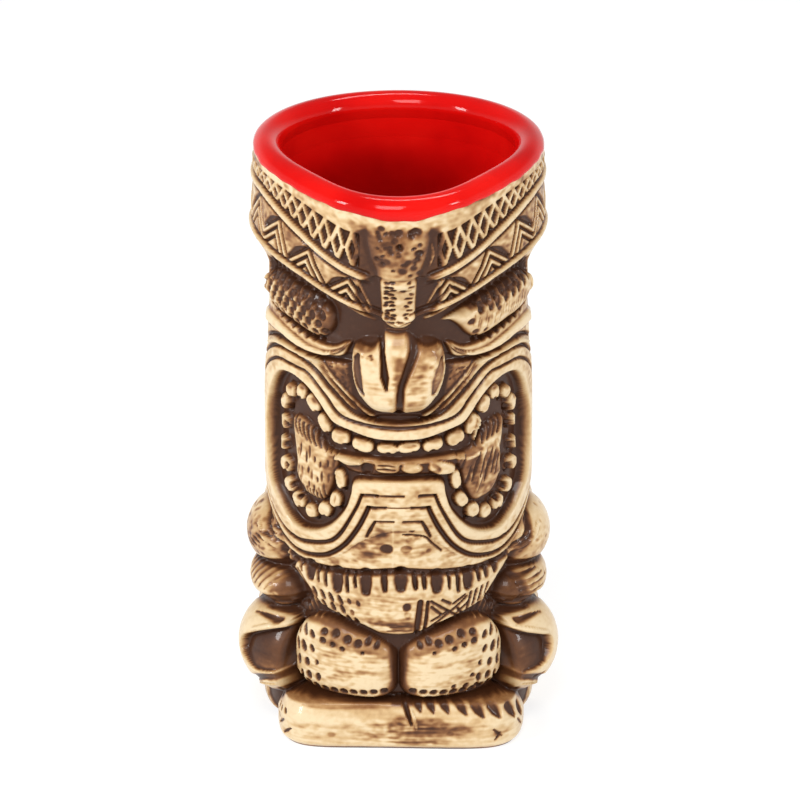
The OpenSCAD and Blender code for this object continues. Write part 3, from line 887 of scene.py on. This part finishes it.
# ------------------------------------------------------------------ knees, feet and arms
def knee_marks():
    """The dark gap between the knees and the dimples along their edges."""
    gap = [(0, 31.6), (3.6, 31), (2.4, 26), (1.8, 20), (3.6, 16.4), (10, 13.4), (0, 12.4)]
    facet(whole(gap), 1.4, -0.3, 1.0, RIGHT, 1.8)
    tint([(3, 32), (12, 33.6), (22, 35.4), (31, 36.8), (40, 36.6), (46, 34), (44, 33.4), (34, 34.4),
          (22, 33), (12, 31.6), (4, 30.2)], 1.2, 0.84, 1.0, BOTH)
    tint([(3, 31), (12, 32.4), (22, 33.6), (31, 33.6), (33, 31.4), (27, 30), (20, 28.6), (12, 28),
          (4, 27)], 1.3, 0.62, 1.0, BOTH)
    tint([(1, 30), (3.6, 29.4), (3.8, 25), (3, 21), (4.6, 18), (8.5, 15.6), (10, 14), (1, 14)],
         1.6, 0.92, 1.1, BOTH)
    top_row = ((9, 30.4, 1.0), (12.6, 31.4, 1.1), (16.4, 31, 1.3), (20.8, 31.8, 1.35), (25.8, 33, 1.35),
               (30.6, 33, 1.2), (22.6, 29.2, 0.8), (26.6, 30, 0.9), (14.4, 28.6, 0.6))
    dots(top_row, -0.8, 0.86, sharp=0.2)
    outer = ((30.8, 30.6, 1.0, 1.1, 30), (36, 31.4, 0.9, 1.4, 30), (39.8, 31.8, 0.8, 1.7, 30),
             (44, 31.4, 0.6, 1.8, 25), (35.6, 27.4, 0.7, 1.3, 15), (40, 27.2, 1.0, 1.9, 12),
             (43.6, 27, 0.8, 2.0, 6), (46.6, 26, 0.5, 2.2, 0), (38.2, 22.8, 0.9, 1.4, 0),
             (42.8, 22.4, 0.8, 1.8, -4), (46, 21, 0.5, 2.0, -6), (33.4, 23.6, 0.5, 0.9, 0),
             (37.6, 18.8, 1.0, 1.6, -8), (41.6, 18.2, 0.7, 1.7, -10), (33, 19.2, 0.8, 1.5, -8),
             (44.8, 17, 0.5, 1.5, -12), (34.8, 15.6, 1.0, 1.1, 0), (38.6, 16, 0.9, 1.2, -10))
    for a, z, wide, tall, lean in outer:
        dab(a, z, wide, tall, lean, -0.8, 0.86)
    for a, z, size in ((27.6, 17.4, 1.0), (22.4, 17.8, 0.8), (30, 20.4, 0.7), (32.4, 16.8, 1.0)):
        dab(a, z, size * 0.9, size, 10, -0.6, 0.72, RIGHT)
    for k in range(11):
        a = 6 + 4.1 * k
        z = table(a, (5, 17.2), (20, 16.2), (32, 15.8), (46, 16.6))
        dab(a, z, 1.15, 1.1, 0, -0.9, 0.92, sharp=0.4)
    brushed(area([(4, 30), (20, 30), (34, 28), (38, 20), (30, 16), (4, 16)], 4), 1.0)


def over_knees():
    """The strokes that fan up from the outer corner of each knee."""
    for k in range(5):
        a = 34 + 3.2 * k
        stroke([(a, 35.8 - 0.3 * k), (a + 3.0, 38.6 - 0.4 * k), (a + 5, 41.4 - 1.2 * k)],
               [0.3, 0.45, 0.2], 0.6, 0.42)


def foot_marks():
    """The dark line over the feet, the notches between the toes, and the heels."""
    freckles(62, 16, -44, 44, 2, 10.5, 1.7, (0.26, 0.38), RIGHT)
    stroke([(0, 13.8), (15, 13.8), (30, 13.8), (42, 13.4), (50, 12)], 0.9, -0.6, 0.96)
    stroke([(28, 13.2), (38, 12.9), (46, 12.2), (52, 10.8), (57, 9)], [0.6, 0.9, 1.1, 1.1, 0.8],
           0.0, 0.72)
    stroke([(2.4, 13.4), (3.6, 11), (5.2, 7.6)], [0.9, 0.8, 0.3], -1.2, 0.92, RIGHT)
    stroke([(5.0, 11.6), (6.6, 8.6), (7.2, 6.4)], [0.2, 0.5, 0.2], 0.4, 0.1, RIGHT)
    facet([(-4, 8.4), (2, 9.8), (12, 9.2), (24, 8.2), (26, 5.4), (12, 4.8), (0, 3.6), (-4, 4)],
          2.0, -0.2, 0.6, RIGHT, 0.8)
    tint([(-2, 5), (10, 4), (20, 2.6), (8, 1.6), (-4, 2)], 2.0, 0.44, 0.8)
    stroke([(4, 12.4), (14, 12.4), (26, 12.2), (36, 11.8)], [0.8, 1.0, 1.0, 0.5], 0.0, 0.56, LEFT)
    toes = ((8.2, 12.6), (13.2, 12.5), (18.6, 12.4), (24.6, 12), (30, 11.2), (35.4, 10.6), (41.6, 9.4),
            (47.8, 7.4))
    for a, z in toes:
        stroke([(a - 0.6, z + 1.2), (a + 0.1, z - 0.3), (a + 0.8, z - 1.6)], [1.5, 1.25, 0.3],
               -0.9, 0.86, RIGHT)
    for a, z, lean in ((51.5, 9.4, 10), (49.6, 7.6, 20), (46.4, 8, 30), (48, 5.6, 20), (52.6, 5, 10),
                       (43, 8.6, 40)):
        dab(a, z, 0.5, 0.85, lean, -0.5, 0.74, LEFT)
    for a, z in ((45.8, 5.2), (41.8, 3.8)):
        stroke([(a - 2.4, z + 0.9), (a + 1.4, z - 1.6)], [0.3, 0.5, 0.2], -0.5, 0.66, LEFT)
    for a, z, b, low in ((33.6, 6.2, 36.4, 3.8), (36, 4.8, 34.2, 2.8), (44, 6.6, 47.6, 3.6)):
        stroke([(a, z), (b, low)], [0.2, 0.4, 0.2], -0.4, 0.62, RIGHT)
    brushed(area([(-46, 9), (0, 11), (46, 9), (46, 2), (0, 1), (-46, 2)], 3, RIGHT), 1.0)
    facet([(57, 10.4), (64, 10.6), (71, 8.6), (72, 4), (68, 1.4), (60, 0.6), (57, 4)], 1.4, -0.4, 0.92)
    stroke([(63, 10.8), (72, 9.2), (75, 4.6), (72, 1.4)], [0.4, 0.7, 0.7, 0.4], 0.3, 0.2)


def arm_marks():
    """The crook of each arm, the creases between its rolls, and the forearm's strokes."""
    left_crook = [(46.8, 29.9), (49.6, 30.3), (55, 28.9), (60.2, 26.9), (64.6, 24.4), (65.4, 21),
                  (61.8, 18.9), (56.8, 17.4), (51, 18.2), (47.4, 20)]
    right_crook = [(46.6, 29.9), (52.8, 28.7), (58, 27), (61.8, 25.6), (62.4, 23.4), (60.6, 20.9),
                   (57, 18.8), (52.3, 18.3), (48, 18.9)]
    for crook, side in ((left_crook, LEFT), (right_crook, RIGHT)):
        for rows, cols, mask in area(crook, 0.6, side):
            R[rows, cols] -= mask * table(Z[rows, cols], (17, 1.0), (22, 2.8), (30, 4.0))
            tone = table(Z[rows, cols], (16, 0.7), (19, 0.88), (21.6, 1.0))
            wash[rows, cols] = mix(wash[rows, cols], tone, mask)
        rim_line = [(46, 31.4)] + [(a, z + 1.2) for a, z in crook[1:4]]
        stroke(rim_line, [0.3, 0.5, 0.5, 0.3], 0.5, 0.14, side)
    stroke([(46, 38), (56, 36.6), (68, 35.4), (80, 35), (96, 36)], [1.6, 1.5, 1.2, 0.9, 0.4], -0.8, 0.92)
    stroke([(54, 46.8), (66, 44.8), (78, 43.6), (92, 43.6)], [1.5, 1.2, 0.8, 0.4], -0.8, 0.9)
    stroke([(50, 44), (56, 47), (62, 51), (70, 57.6), (76, 62)], [2.0, 1.8, 1.5, 1.1, 0.6], -0.6, 0.93)
    facet([(44, 40), (52, 44), (58, 43), (57, 36.5), (50, 36), (45, 36)], 2, -0.6, 0.93)
    for a, z, b, high in ((49, 33.6, 61, 33.4), (52, 31.8, 64, 31.4), (60, 35, 70, 33.8)):
        stroke([(a, z), ((a + b) / 2, (z + high) / 2 + 0.3), (b, high)], [0.9, 0.6, 0.1], -0.6, 0.88)
    for k in range(5):
        z = 42.6 - 1.5 * k
        stroke([(56, z), (62 + k % 2 * 3, z + 0.3), (68 + k % 3 * 2, z + 0.2)], [0.8, 0.5, 0.1],
               -0.5, 0.9, RIGHT)
    tint([(60, 57), (72, 58), (82, 54), (84, 48), (70, 46), (60, 48)], 3.0, 0.36, 0.9, LEFT)
    tint([(58, 43.4), (74, 42.8), (86, 41), (84, 39.4), (66, 39.6), (57, 40)], 2.4, 0.5, 0.9, LEFT)
    tint([(60, 50), (70, 50), (74, 46), (60, 45)], 2.0, 0.46, 0.8)
    freckles(51, 44, 56, 84, 37, 43.6, 0.9, (0.25, 0.75), LEFT)
    tint([(60, 41.6), (72, 41), (80, 40), (79, 37.2), (66, 37), (60, 38.4)], 2.0, 0.24, 0.9, BOTH)
    freckles(52, 26, 60, 90, 37, 43, 0.7, (0.3, 0.5), RIGHT)
    for k in range(7):
        a = 57 + 3.4 * k
        stroke([(a, 44), (a + 1.6, 41.4 - 0.2 * k), (a + 3.4, 38.8 - 0.1 * k)], [0.9, 0.7, 0.2],
               -0.3, 0.6 + 0.04 * (k % 3), LEFT, 1.0, sharp=0.1)
    freckles(53, 80, 58, 90, 45, 58, 0.9, (0.2, 0.85), LEFT)
    freckles(54, 34, 58, 90, 45, 58, 0.8, (0.3, 0.6), RIGHT)
    for k in range(7):
        stroke([(60 + 2 * k, 55 - 1.2 * k), (65 + 2 * k, 55.6 - 1.2 * k)], [0.2, 0.5, 0.2],
               -0.4, 0.8, LEFT)
    stroke([(48, 17), (54, 15.6), (60, 13.2), (66, 11), (76, 9.6), (86, 10)],
           [1.3, 1.3, 1.1, 0.9, 0.7, 0.3], -0.8, 0.93)
    stroke([(50, 13.8), (56, 12.4), (61, 10.8)], [0.3, 0.4, 0.2], 0.6, 0.3)
    dab(57, 15.4, 1.8, 0.6, -10, -0.4, 0.7, RIGHT)
    for k in range(6):
        stroke([(70 + 2.5 * k, 33 - 0.8 * k), (78 + 2.5 * k, 30.6 - 1.6 * k)], [0.15, 0.4, 0.15],
               -0.35, 0.55)


# ------------------------------------------------------------------ sides and back
def back_marks():
    """The head's sides and back: long flutes with round ends, a cord across the shoulders, and
    rows of dimples on the haunches."""
    for k in range(10):
        a = 96 + 9.33 * k
        foot = 66 - 2.5 * (k % 2)
        crown = 131.5 - 2.0 * (k % 2)
        stroke([(a, crown), (a, foot)], [0.4, 1.5, 1.6, 1.6, 1.6, 1.6, 1.2], -1.1, bend=False, sharp=0.0)
        stroke([(a, crown), (a, foot)], [0.3, 0.8, 0.8, 0.8, 0.8, 0.8, 0.5], 0.0, 0.72, bend=False)
    collar = [(84, 60), (100, 59.6), (120, 59), (150, 58.6), (180, 58.6)]
    stroke(collar, 1.5, -0.7, 0.85)
    stroke(collar, 0.75, 1.2, 0.2)
    for row in range(3):
        for k in range(9):
            a = 92 + 4.4 * k + 2.2 * (row % 2)
            z = 27.5 - 3.6 * row - 0.012 * (a - 104) ** 2
            dab(a, z, 0.9, 1.3, -8, -0.7, 0.8)
    stroke([(92, 34.6), (104, 36.6), (120, 36), (136, 33)], [0.4, 0.9, 0.8, 0.3], -0.6, 0.85)
    stroke([(139, 31), (146, 20), (148, 8)], [0.3, 0.8, 0.5], -0.6, 0.8)
    stroke([(180, 54), (180, 30), (180, 6)], [0.4, 1.2, 0.6], -0.7, 0.8)
    for k in range(5):
        a = -2 * k
        z = -4.4 * k
        stroke([(172 + a, 50 + z), (162 + a, 51.6 + z), (153 + a, 50.6 + z)], [0.2, 0.6, 0.2],
               -0.5, 0.75)


def keep_wall():
    """Leaves a wall between the deepest cuts and the cavity."""
    R[:] = join(R, cavity_r(T, Z) + THIN_WALL, 0.4)


def hand_made():
    """Slow unevenness of a hand-carved, slip-cast form."""
    slow = wiggle(T, 11, (3, 5, 8)) * np.sin(Z / 13 + 1)
    slow += wiggle(T, 12, (7, 12, 17)) * np.sin(Z / 5.5)
    R[:] += 0.12 * slow
    fine = wiggle(T, 13, (23, 41, 57)) * np.sin(Z * 0.9)
    fine += wiggle(T, 14, (31, 47, 71)) * np.sin(Z * 1.7 + 2)
    R[:] += 0.03 * fine


R = large_forms()
wash = np.full_like(R, PALE)
brush = np.full_like(R, SMOOTH_CLAY)


def deep_wash_and_shade():
    """Wash left in the deep places between the face, the limbs and the seat, made darker there as painted
    shade.
    """
    low = table(B, *BEARD_LOW)
    deep = smooth((low - Z) / 1.5 + 0.3) * smooth((35.2 - R) / 2.0) * smooth((90 - B) / 10)
    wash[:] = mix(wash, 0.95, deep)


deep_wash_and_shade()
lips()
headband()
eyes()
cheeks()
lip_lines()
nose()
mouth()
tongue()
teeth()
between_teeth()
lower_lip()
chin()
beard()
beard_marks()
knee_marks()
over_knees()
foot_marks()
arm_marks()
back_marks()
keep_wall()
hand_made()


# ------------------------------------------------------------------ brown wash
def blurred(field, across_mm, up_mm=None):
    """A Gaussian blur of the chart, round the mug and up it, over these sigmas in mm."""
    up_mm = across_mm if up_mm is None else up_mm
    rows, cols = field.shape
    pad = 64
    padded = np.pad(field, ((pad, pad), (0, 0)), mode="edge")
    fx = np.fft.rfftfreq(cols, 1 / cols) * 2 * np.pi / (360 * ARC)
    fz = np.fft.fftfreq(rows + 2 * pad, ROW_STEP) * 2 * np.pi
    weight = np.exp(-0.5 * ((across_mm * fx[None, :]) ** 2 + (up_mm * fz[:, None]) ** 2))
    out = np.fft.irfft2(np.fft.rfft2(padded) * weight, s=padded.shape)
    return out[pad:-pad]


def grain(seed, across_mm, up_mm):
    """Seeded noise of about unit height with patches of this size."""
    noise = blurred(np.random.default_rng(seed).standard_normal(Z.shape), across_mm, up_mm)
    return noise / noise.std()


def settle():
    """The wash sits in low places and is wiped sideways from high ones, over three sizes of
    form. The wiping leaves blotches and streaks where the tone is between pale and dark."""
    fine = blurred(R, 0.4) - R
    middle = blurred(R, 1.2) - R
    broad = blurred(R, 3.2) - R
    low = 1.7 * np.maximum(fine, 0) + 0.85 * np.maximum(middle, 0) + 0.3 * np.maximum(broad, 0)
    high = 0.6 * np.minimum(middle, 0) + 0.2 * np.minimum(broad, 0)
    soft = 0.78 * blurred(wash, 0.18) + 0.22 * np.maximum(blurred(wash, 1.3), wash)
    tone = np.clip(soft + low + 0.4 * np.maximum(high, -0.5), 0, 1)
    blotch = grain(31, 2.4, 1.5)
    streak = grain(32, 1.5, 0.24)
    scuff = grain(33, 0.5, 0.36)
    edge = 1.0 - np.abs(2 * tone - 1) ** 2
    loose = (0.05 + 0.13 * edge) * (1 - smooth((tone - 0.75) / 0.25))
    up, round_it = np.gradient(blurred(R, 0.4), ROW_STEP, COLUMN_STEP)
    loose = loose / (1 + 5 * (up ** 2 + round_it ** 2))
    return np.clip(tone + loose * (0.6 * blotch + 0.85 * brush * streak + 0.7 * scuff), 0, 1)


stain = settle()


# ------------------------------------------------------------------ mesh
def ring(a, r, z):
    """Points at these angles, radii and heights."""
    a = np.radians(a)
    return np.stack([r * np.sin(a), -r * np.cos(a), np.broadcast_to(z, r.shape)], -1)


def lip_rings(a, offset, angles):
    """Rings over the rolled lip; an angle of 0 is its outer side and 180 its inner side."""
    half = LIP_T / 2
    for t in np.radians(angles):
        r = rim_r(a) - half + (half + offset) * np.cos(t)
        yield ring(a, r, lip_z(a) + (half + offset) * np.sin(t))


def cavity_rings(a, offset, count):
    """Rings down the cavity wall and round the floor's fillet."""
    low = FLOOR_T + FLOOR_FILLET
    for k in range(1, count + 1):
        z = mix(lip_z(a), low, k / count)
        yield ring(a, cavity_r(a, z) - offset, z)
    for t in np.radians(np.linspace(0, 90, max(4, count // 4))[1:]):
        r = CAVITY_R - FLOOR_FILLET * (1 - np.cos(t)) - offset * np.cos(t)
        yield ring(a, np.full(a.shape, r), low - (FLOOR_FILLET - offset) * np.sin(t))
    for r in np.linspace(CAVITY_R - FLOOR_FILLET, 4.0, max(2, count // 8))[1:]:
        yield ring(a, np.full(a.shape, r), FLOOR_T + offset)


def closed_skin(name, rings, first, last):
    """One closed mesh from a list of rings, with a fan to the point first and the point last."""
    n = len(rings[0])
    m = len(rings)
    co = np.vstack([[first]] + list(rings) + [[last]]) * M
    i = np.arange(n)
    j = (i + 1) % n
    k = (np.arange(m - 1) * n + 1)[:, None]
    quads = np.stack([k + i, k + j, k + j + n, k + i + n], -1).reshape(-1, 4)
    end = 1 + (m - 1) * n
    fans = np.vstack([np.stack([np.zeros(n, int), 1 + j, 1 + i], -1),
                      np.stack([end + i, end + j, np.full(n, m * n + 1)], -1)])
    mesh = bpy.data.meshes.new(name)
    mesh.vertices.add(len(co))
    mesh.vertices.foreach_set("co", co.ravel())
    loops = np.concatenate([quads.ravel(), fans.ravel()])
    sizes = np.concatenate([np.full(len(quads), 4), np.full(len(fans), 3)])
    starts = np.concatenate([[0], np.cumsum(sizes)[:-1]])
    mesh.loops.add(len(loops))
    mesh.loops.foreach_set("vertex_index", loops)
    mesh.polygons.add(len(sizes))
    mesh.polygons.foreach_set("loop_start", starts)
    mesh.polygons.foreach_set("loop_total", sizes)
    mesh.update(calc_edges=True)
    mesh.validate()
    mesh.polygons.foreach_set("use_smooth", np.ones(len(mesh.polygons), bool))
    piece = bpy.data.objects.new(name, mesh)
    bpy.context.scene.collection.objects.link(piece)
    return piece


def build_body():
    """The carved clay: the chart outside, the lip, and the wall behind the glaze."""
    outside = [ring(ang, R[k], Z[k]) for k in range(len(share))]
    lip = list(lip_rings(ang, 0.0, np.linspace(0, 180, 13)[1:]))
    hollow = list(cavity_rings(ang, -BEHIND_GLAZE, 30))
    piece = closed_skin("carved_body", outside + lip + hollow, (0, 0, 0), (0, 0, FLOOR_T))
    values = np.zeros(len(piece.data.vertices), np.float32)
    values[1:1 + stain.size] = stain.ravel()
    layer = piece.data.attributes.new(STAIN, "FLOAT", "POINT")
    layer.data.foreach_set("value", values)
    return piece


def build_glaze():
    """The glaze: from its wavy painted edge over the lip and down to the floor."""
    a = np.arange(-180, 180, 0.6)
    low = table(np.abs(a), (0, -1.4), (6, -1.2), (14, -0.4), (30, -0.2), (60, 0.3), (90, 0.9), (180, 1.0))
    low = low + wiggle(a, 3, (5, 9, 14, 23, 37), 0.5)
    half = LIP_T / 2
    edge = []
    for step, thick in ((0.0, -TUCK), (0.18, 0.14), (0.45, 0.32), (0.9, 0.46), (1.6, GLAZE_T)):
        s = low + step
        t = np.maximum(s, 0) / half
        r = rim_r(a) - half + (half + thick) * np.cos(t)
        edge.append(ring(a, r, lip_z(a) + (half + thick) * np.sin(t) + np.minimum(s, 0)))
    start = np.degrees(np.maximum(low + 2.0, 0) / half)
    over = []
    for u in np.linspace(0, 1, 30):
        t = np.radians(mix(start, 180, u))
        r = rim_r(a) - half + (half + GLAZE_T) * np.cos(t)
        over.append(ring(a, r, lip_z(a) + (half + GLAZE_T) * np.sin(t)))
    coat = edge + over + list(cavity_rings(a, GLAZE_T, 60))
    under = list(lip_rings(a, -TUCK, np.linspace(35, 180, 8))) + list(cavity_rings(a, -TUCK, 8))
    rings = under[::-1] + coat
    return closed_skin("red_glaze", rings, (0, 0, FLOOR_T - TUCK), (0, 0, FLOOR_T + GLAZE_T))


# ------------------------------------------------------------------ materials
def nodes_of(name):
    """A new material with its nodes, its links and its shader node."""
    material = bpy.data.materials.new(name)
    material.use_nodes = True
    tree = material.node_tree
    return material, tree.nodes, tree.links, tree.nodes["Principled BSDF"]


def put(node, values):
    """Sets constant values on a node's sockets."""
    for name, value in values.items():
        node.inputs[name].default_value = value


def ramp_of(nodes, stops):
    """A colour ramp with (place, colour) stops."""
    ramp = nodes.new("ShaderNodeValToRGB")
    for element, (place, colour) in zip(ramp.color_ramp.elements, (stops[0], stops[-1])):
        element.position = place
        element.color = (*colour, 1)
    for place, colour in stops[1:-1]:
        ramp.color_ramp.elements.new(place).color = (*colour, 1)
    return ramp


def noise_of(nodes, links, place, scale, detail, stretch=(1, 1, 1)):
    """Noise over the object's own coordinates, stretched by a factor along each axis."""
    mapping = nodes.new("ShaderNodeMapping")
    put(mapping, {"Scale": stretch})
    noise = nodes.new("ShaderNodeTexNoise")
    put(noise, {"Scale": scale, "Detail": detail})
    links.new(place.outputs["Object"], mapping.inputs["Vector"])
    links.new(mapping.outputs["Vector"], noise.inputs["Vector"])
    return noise.outputs["Fac"]


def math_of(nodes, links, operation, first, second, third=None):
    """A maths node, whose terms are numbers or other sockets."""
    node = nodes.new("ShaderNodeMath")
    node.operation = operation
    for socket, value in zip(node.inputs, (first, second, third)):
        if value is None:
            continue
        if isinstance(value, (int, float)):
            socket.default_value = value
        else:
            links.new(value, socket)
    return node.outputs[0]


def bump_of(nodes, links, shader, height, strength, distance):
    """Bumps on a shader from a height socket; the distance is in metres."""
    bump = nodes.new("ShaderNodeBump")
    put(bump, {"Strength": strength, "Distance": distance})
    links.new(height, bump.inputs["Height"])
    links.new(bump.outputs["Normal"], shader.inputs["Normal"])


def stained_ceramic():
    """Cream clay under a brown wash, which the chart's stain gives, and a thin clear glaze."""
    material, nodes, links, shader = nodes_of("stained_ceramic")
    place = nodes.new("ShaderNodeTexCoord")
    attribute = nodes.new("ShaderNodeAttribute")
    attribute.attribute_name = STAIN
    streaks = noise_of(nodes, links, place, 320, 4, (1, 1, 4))
    specks = noise_of(nodes, links, place, 900, 3)
    loose = math_of(nodes, links, "MULTIPLY_ADD", streaks, 0.08, -0.04)
    loose = math_of(nodes, links, "MULTIPLY_ADD", specks, 0.16, loose)
    tone = math_of(nodes, links, "ADD", attribute.outputs["Fac"], loose)
    tone = math_of(nodes, links, "SUBTRACT", tone, 0.08)
    ramp = ramp_of(nodes, ((0.0, (0.75, 0.59, 0.37)), (0.18, (0.61, 0.415, 0.208)),
                           (0.36, (0.42, 0.232, 0.094)), (0.56, (0.235, 0.098, 0.033)),
                           (0.76, (0.112, 0.040, 0.013)), (1.0, (0.050, 0.0155, 0.005))))
    links.new(tone, ramp.inputs["Fac"])
    links.new(ramp.outputs["Color"], shader.inputs["Base Color"])
    rough = nodes.new("ShaderNodeMapRange")
    put(rough, {"To Min": 0.30, "To Max": 0.46})
    links.new(tone, rough.inputs["Value"])
    links.new(rough.outputs["Result"], shader.inputs["Roughness"])
    bump_of(nodes, links, shader, streaks, 0.25, 0.00015)
    put(shader, {"Specular IOR Level": 0.2, "Coat Weight": 0.22, "Coat Roughness": 0.06})
    return material


def red_glaze():
    """Opaque red glaze, a little cloudy, with painted shade that darkens it deeper inside the cavity."""
    material, nodes, links, shader = nodes_of("red_glaze")
    place = nodes.new("ShaderNodeTexCoord")
    clouds = noise_of(nodes, links, place, 45, 3)
    ramp = ramp_of(nodes, ((0.3, (0.52, 0.002, 0.002)), (0.5, (0.65, 0.004, 0.003)),
                           (0.72, (0.75, 0.008, 0.005))))
    links.new(clouds, ramp.inputs["Fac"])
    apart = nodes.new("ShaderNodeSeparateXYZ")
    links.new(place.outputs["Object"], apart.inputs[0])
    # Painted shade: the red's colour is scaled down from the lip towards the floor of the cavity.
    cavity_shade = nodes.new("ShaderNodeMapRange")
    put(cavity_shade, {"From Min": 0.07, "From Max": 0.155, "To Min": 0.2, "To Max": 1.0})
    links.new(apart.outputs["Z"], cavity_shade.inputs["Value"])
    shaded_red = nodes.new("ShaderNodeVectorMath")
    shaded_red.operation = "SCALE"
    links.new(ramp.outputs["Color"], shaded_red.inputs[0])
    links.new(cavity_shade.outputs["Result"], shaded_red.inputs["Scale"])
    links.new(shaded_red.outputs["Vector"], shader.inputs["Base Color"])
    bump_of(nodes, links, shader, clouds, 0.08, 0.0004)
    put(shader, {"Roughness": 0.1, "Specular IOR Level": 0.14, "Coat Weight": 0.08,
                 "Coat Roughness": 0.03})
    return material


# ------------------------------------------------------------------ stage, lights and camera
def stage():
    """A bright paper floor, which is not part of the mug."""
    bpy.ops.mesh.primitive_plane_add(size=40.0, location=(0, 0, 0))
    floor = bpy.context.object
    floor.name = "floor"
    material, _, _, shader = nodes_of("paper")
    put(shader, {"Base Color": (0.3, 0.3, 0.3, 1), "Roughness": 0.9,
                 "Emission Color": (1, 1, 1, 1), "Emission Strength": 0.76})
    floor.data.materials.append(material)


def softbox(name, place, size, power):
    """A rectangular light that looks at the middle of the mug."""
    light = bpy.data.lights.new(name, "AREA")
    light.shape = "RECTANGLE"
    light.size, light.size_y = size
    light.energy = power
    lamp = bpy.data.objects.new(name, light)
    bpy.context.scene.collection.objects.link(lamp)
    lamp.location = place
    way = lamp.location - Vector((0, 0, 0.09))
    lamp.rotation_euler = way.to_track_quat("Z", "Y").to_euler()


def sky():
    """A white studio that is darker overhead."""
    world = bpy.data.worlds.new("studio")
    bpy.context.scene.world = world
    world.use_nodes = True
    nodes, links = world.node_tree.nodes, world.node_tree.links
    way = nodes.new("ShaderNodeTexCoord")
    toward = nodes.new("ShaderNodeVectorMath")
    toward.operation = "DOT_PRODUCT"
    toward.inputs[1].default_value = (0, 0, 1)
    links.new(way.outputs["Generated"], toward.inputs[0])
    level = nodes.new("ShaderNodeMapRange")
    level.interpolation_type = "SMOOTHSTEP"
    put(level, {"From Min": 0.15, "From Max": 0.5, "To Min": 0.95, "To Max": 0.3})
    links.new(toward.outputs["Value"], level.inputs["Value"])
    links.new(level.outputs["Result"], nodes["Background"].inputs["Strength"])
    put(nodes["Background"], {"Color": (1, 1, 1, 1)})


def lights():
    """Four softboxes, whose reflections show on the lip and the carving."""
    softbox("left", (-0.75, -0.45, 0.55), (0.16, 0.3), 4.6)
    softbox("right", (0.8, -0.5, 0.5), (0.14, 0.28), 3.0)
    softbox("front", (-0.12, -0.75, 1.05), (0.34, 0.46), 5.4)
    softbox("top", (0.1, 0.45, 1.1), (0.4, 0.1), 2.4)


def camera():
    """Looks at the mug from the front, from 25 degrees above the level."""
    lift = math.radians(25)
    away = 0.9
    aim_high = 0.08
    data = bpy.data.cameras.new("camera")
    data.lens = 152.0
    data.sensor_width = 36
    data.shift_x = 0.0019
    data.shift_y = 0.021
    data.clip_end = 20
    seen = bpy.data.objects.new("camera", data)
    bpy.context.scene.collection.objects.link(seen)
    seen.location = (0, -away * math.cos(lift), aim_high + away * math.sin(lift))
    seen.rotation_euler = (math.radians(90) - lift, 0, 0)
    bpy.context.scene.camera = seen
    bpy.context.scene.view_settings.view_transform = "Standard"


camera()
stage()
sky()
lights()

body = build_body()
body.data.materials.append(stained_ceramic())
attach(body, "root")
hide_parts("ceramic_body")

glaze = build_glaze()
glaze.data.materials.append(red_glaze())
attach(glaze, "root")
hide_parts("red_glaze_lining")
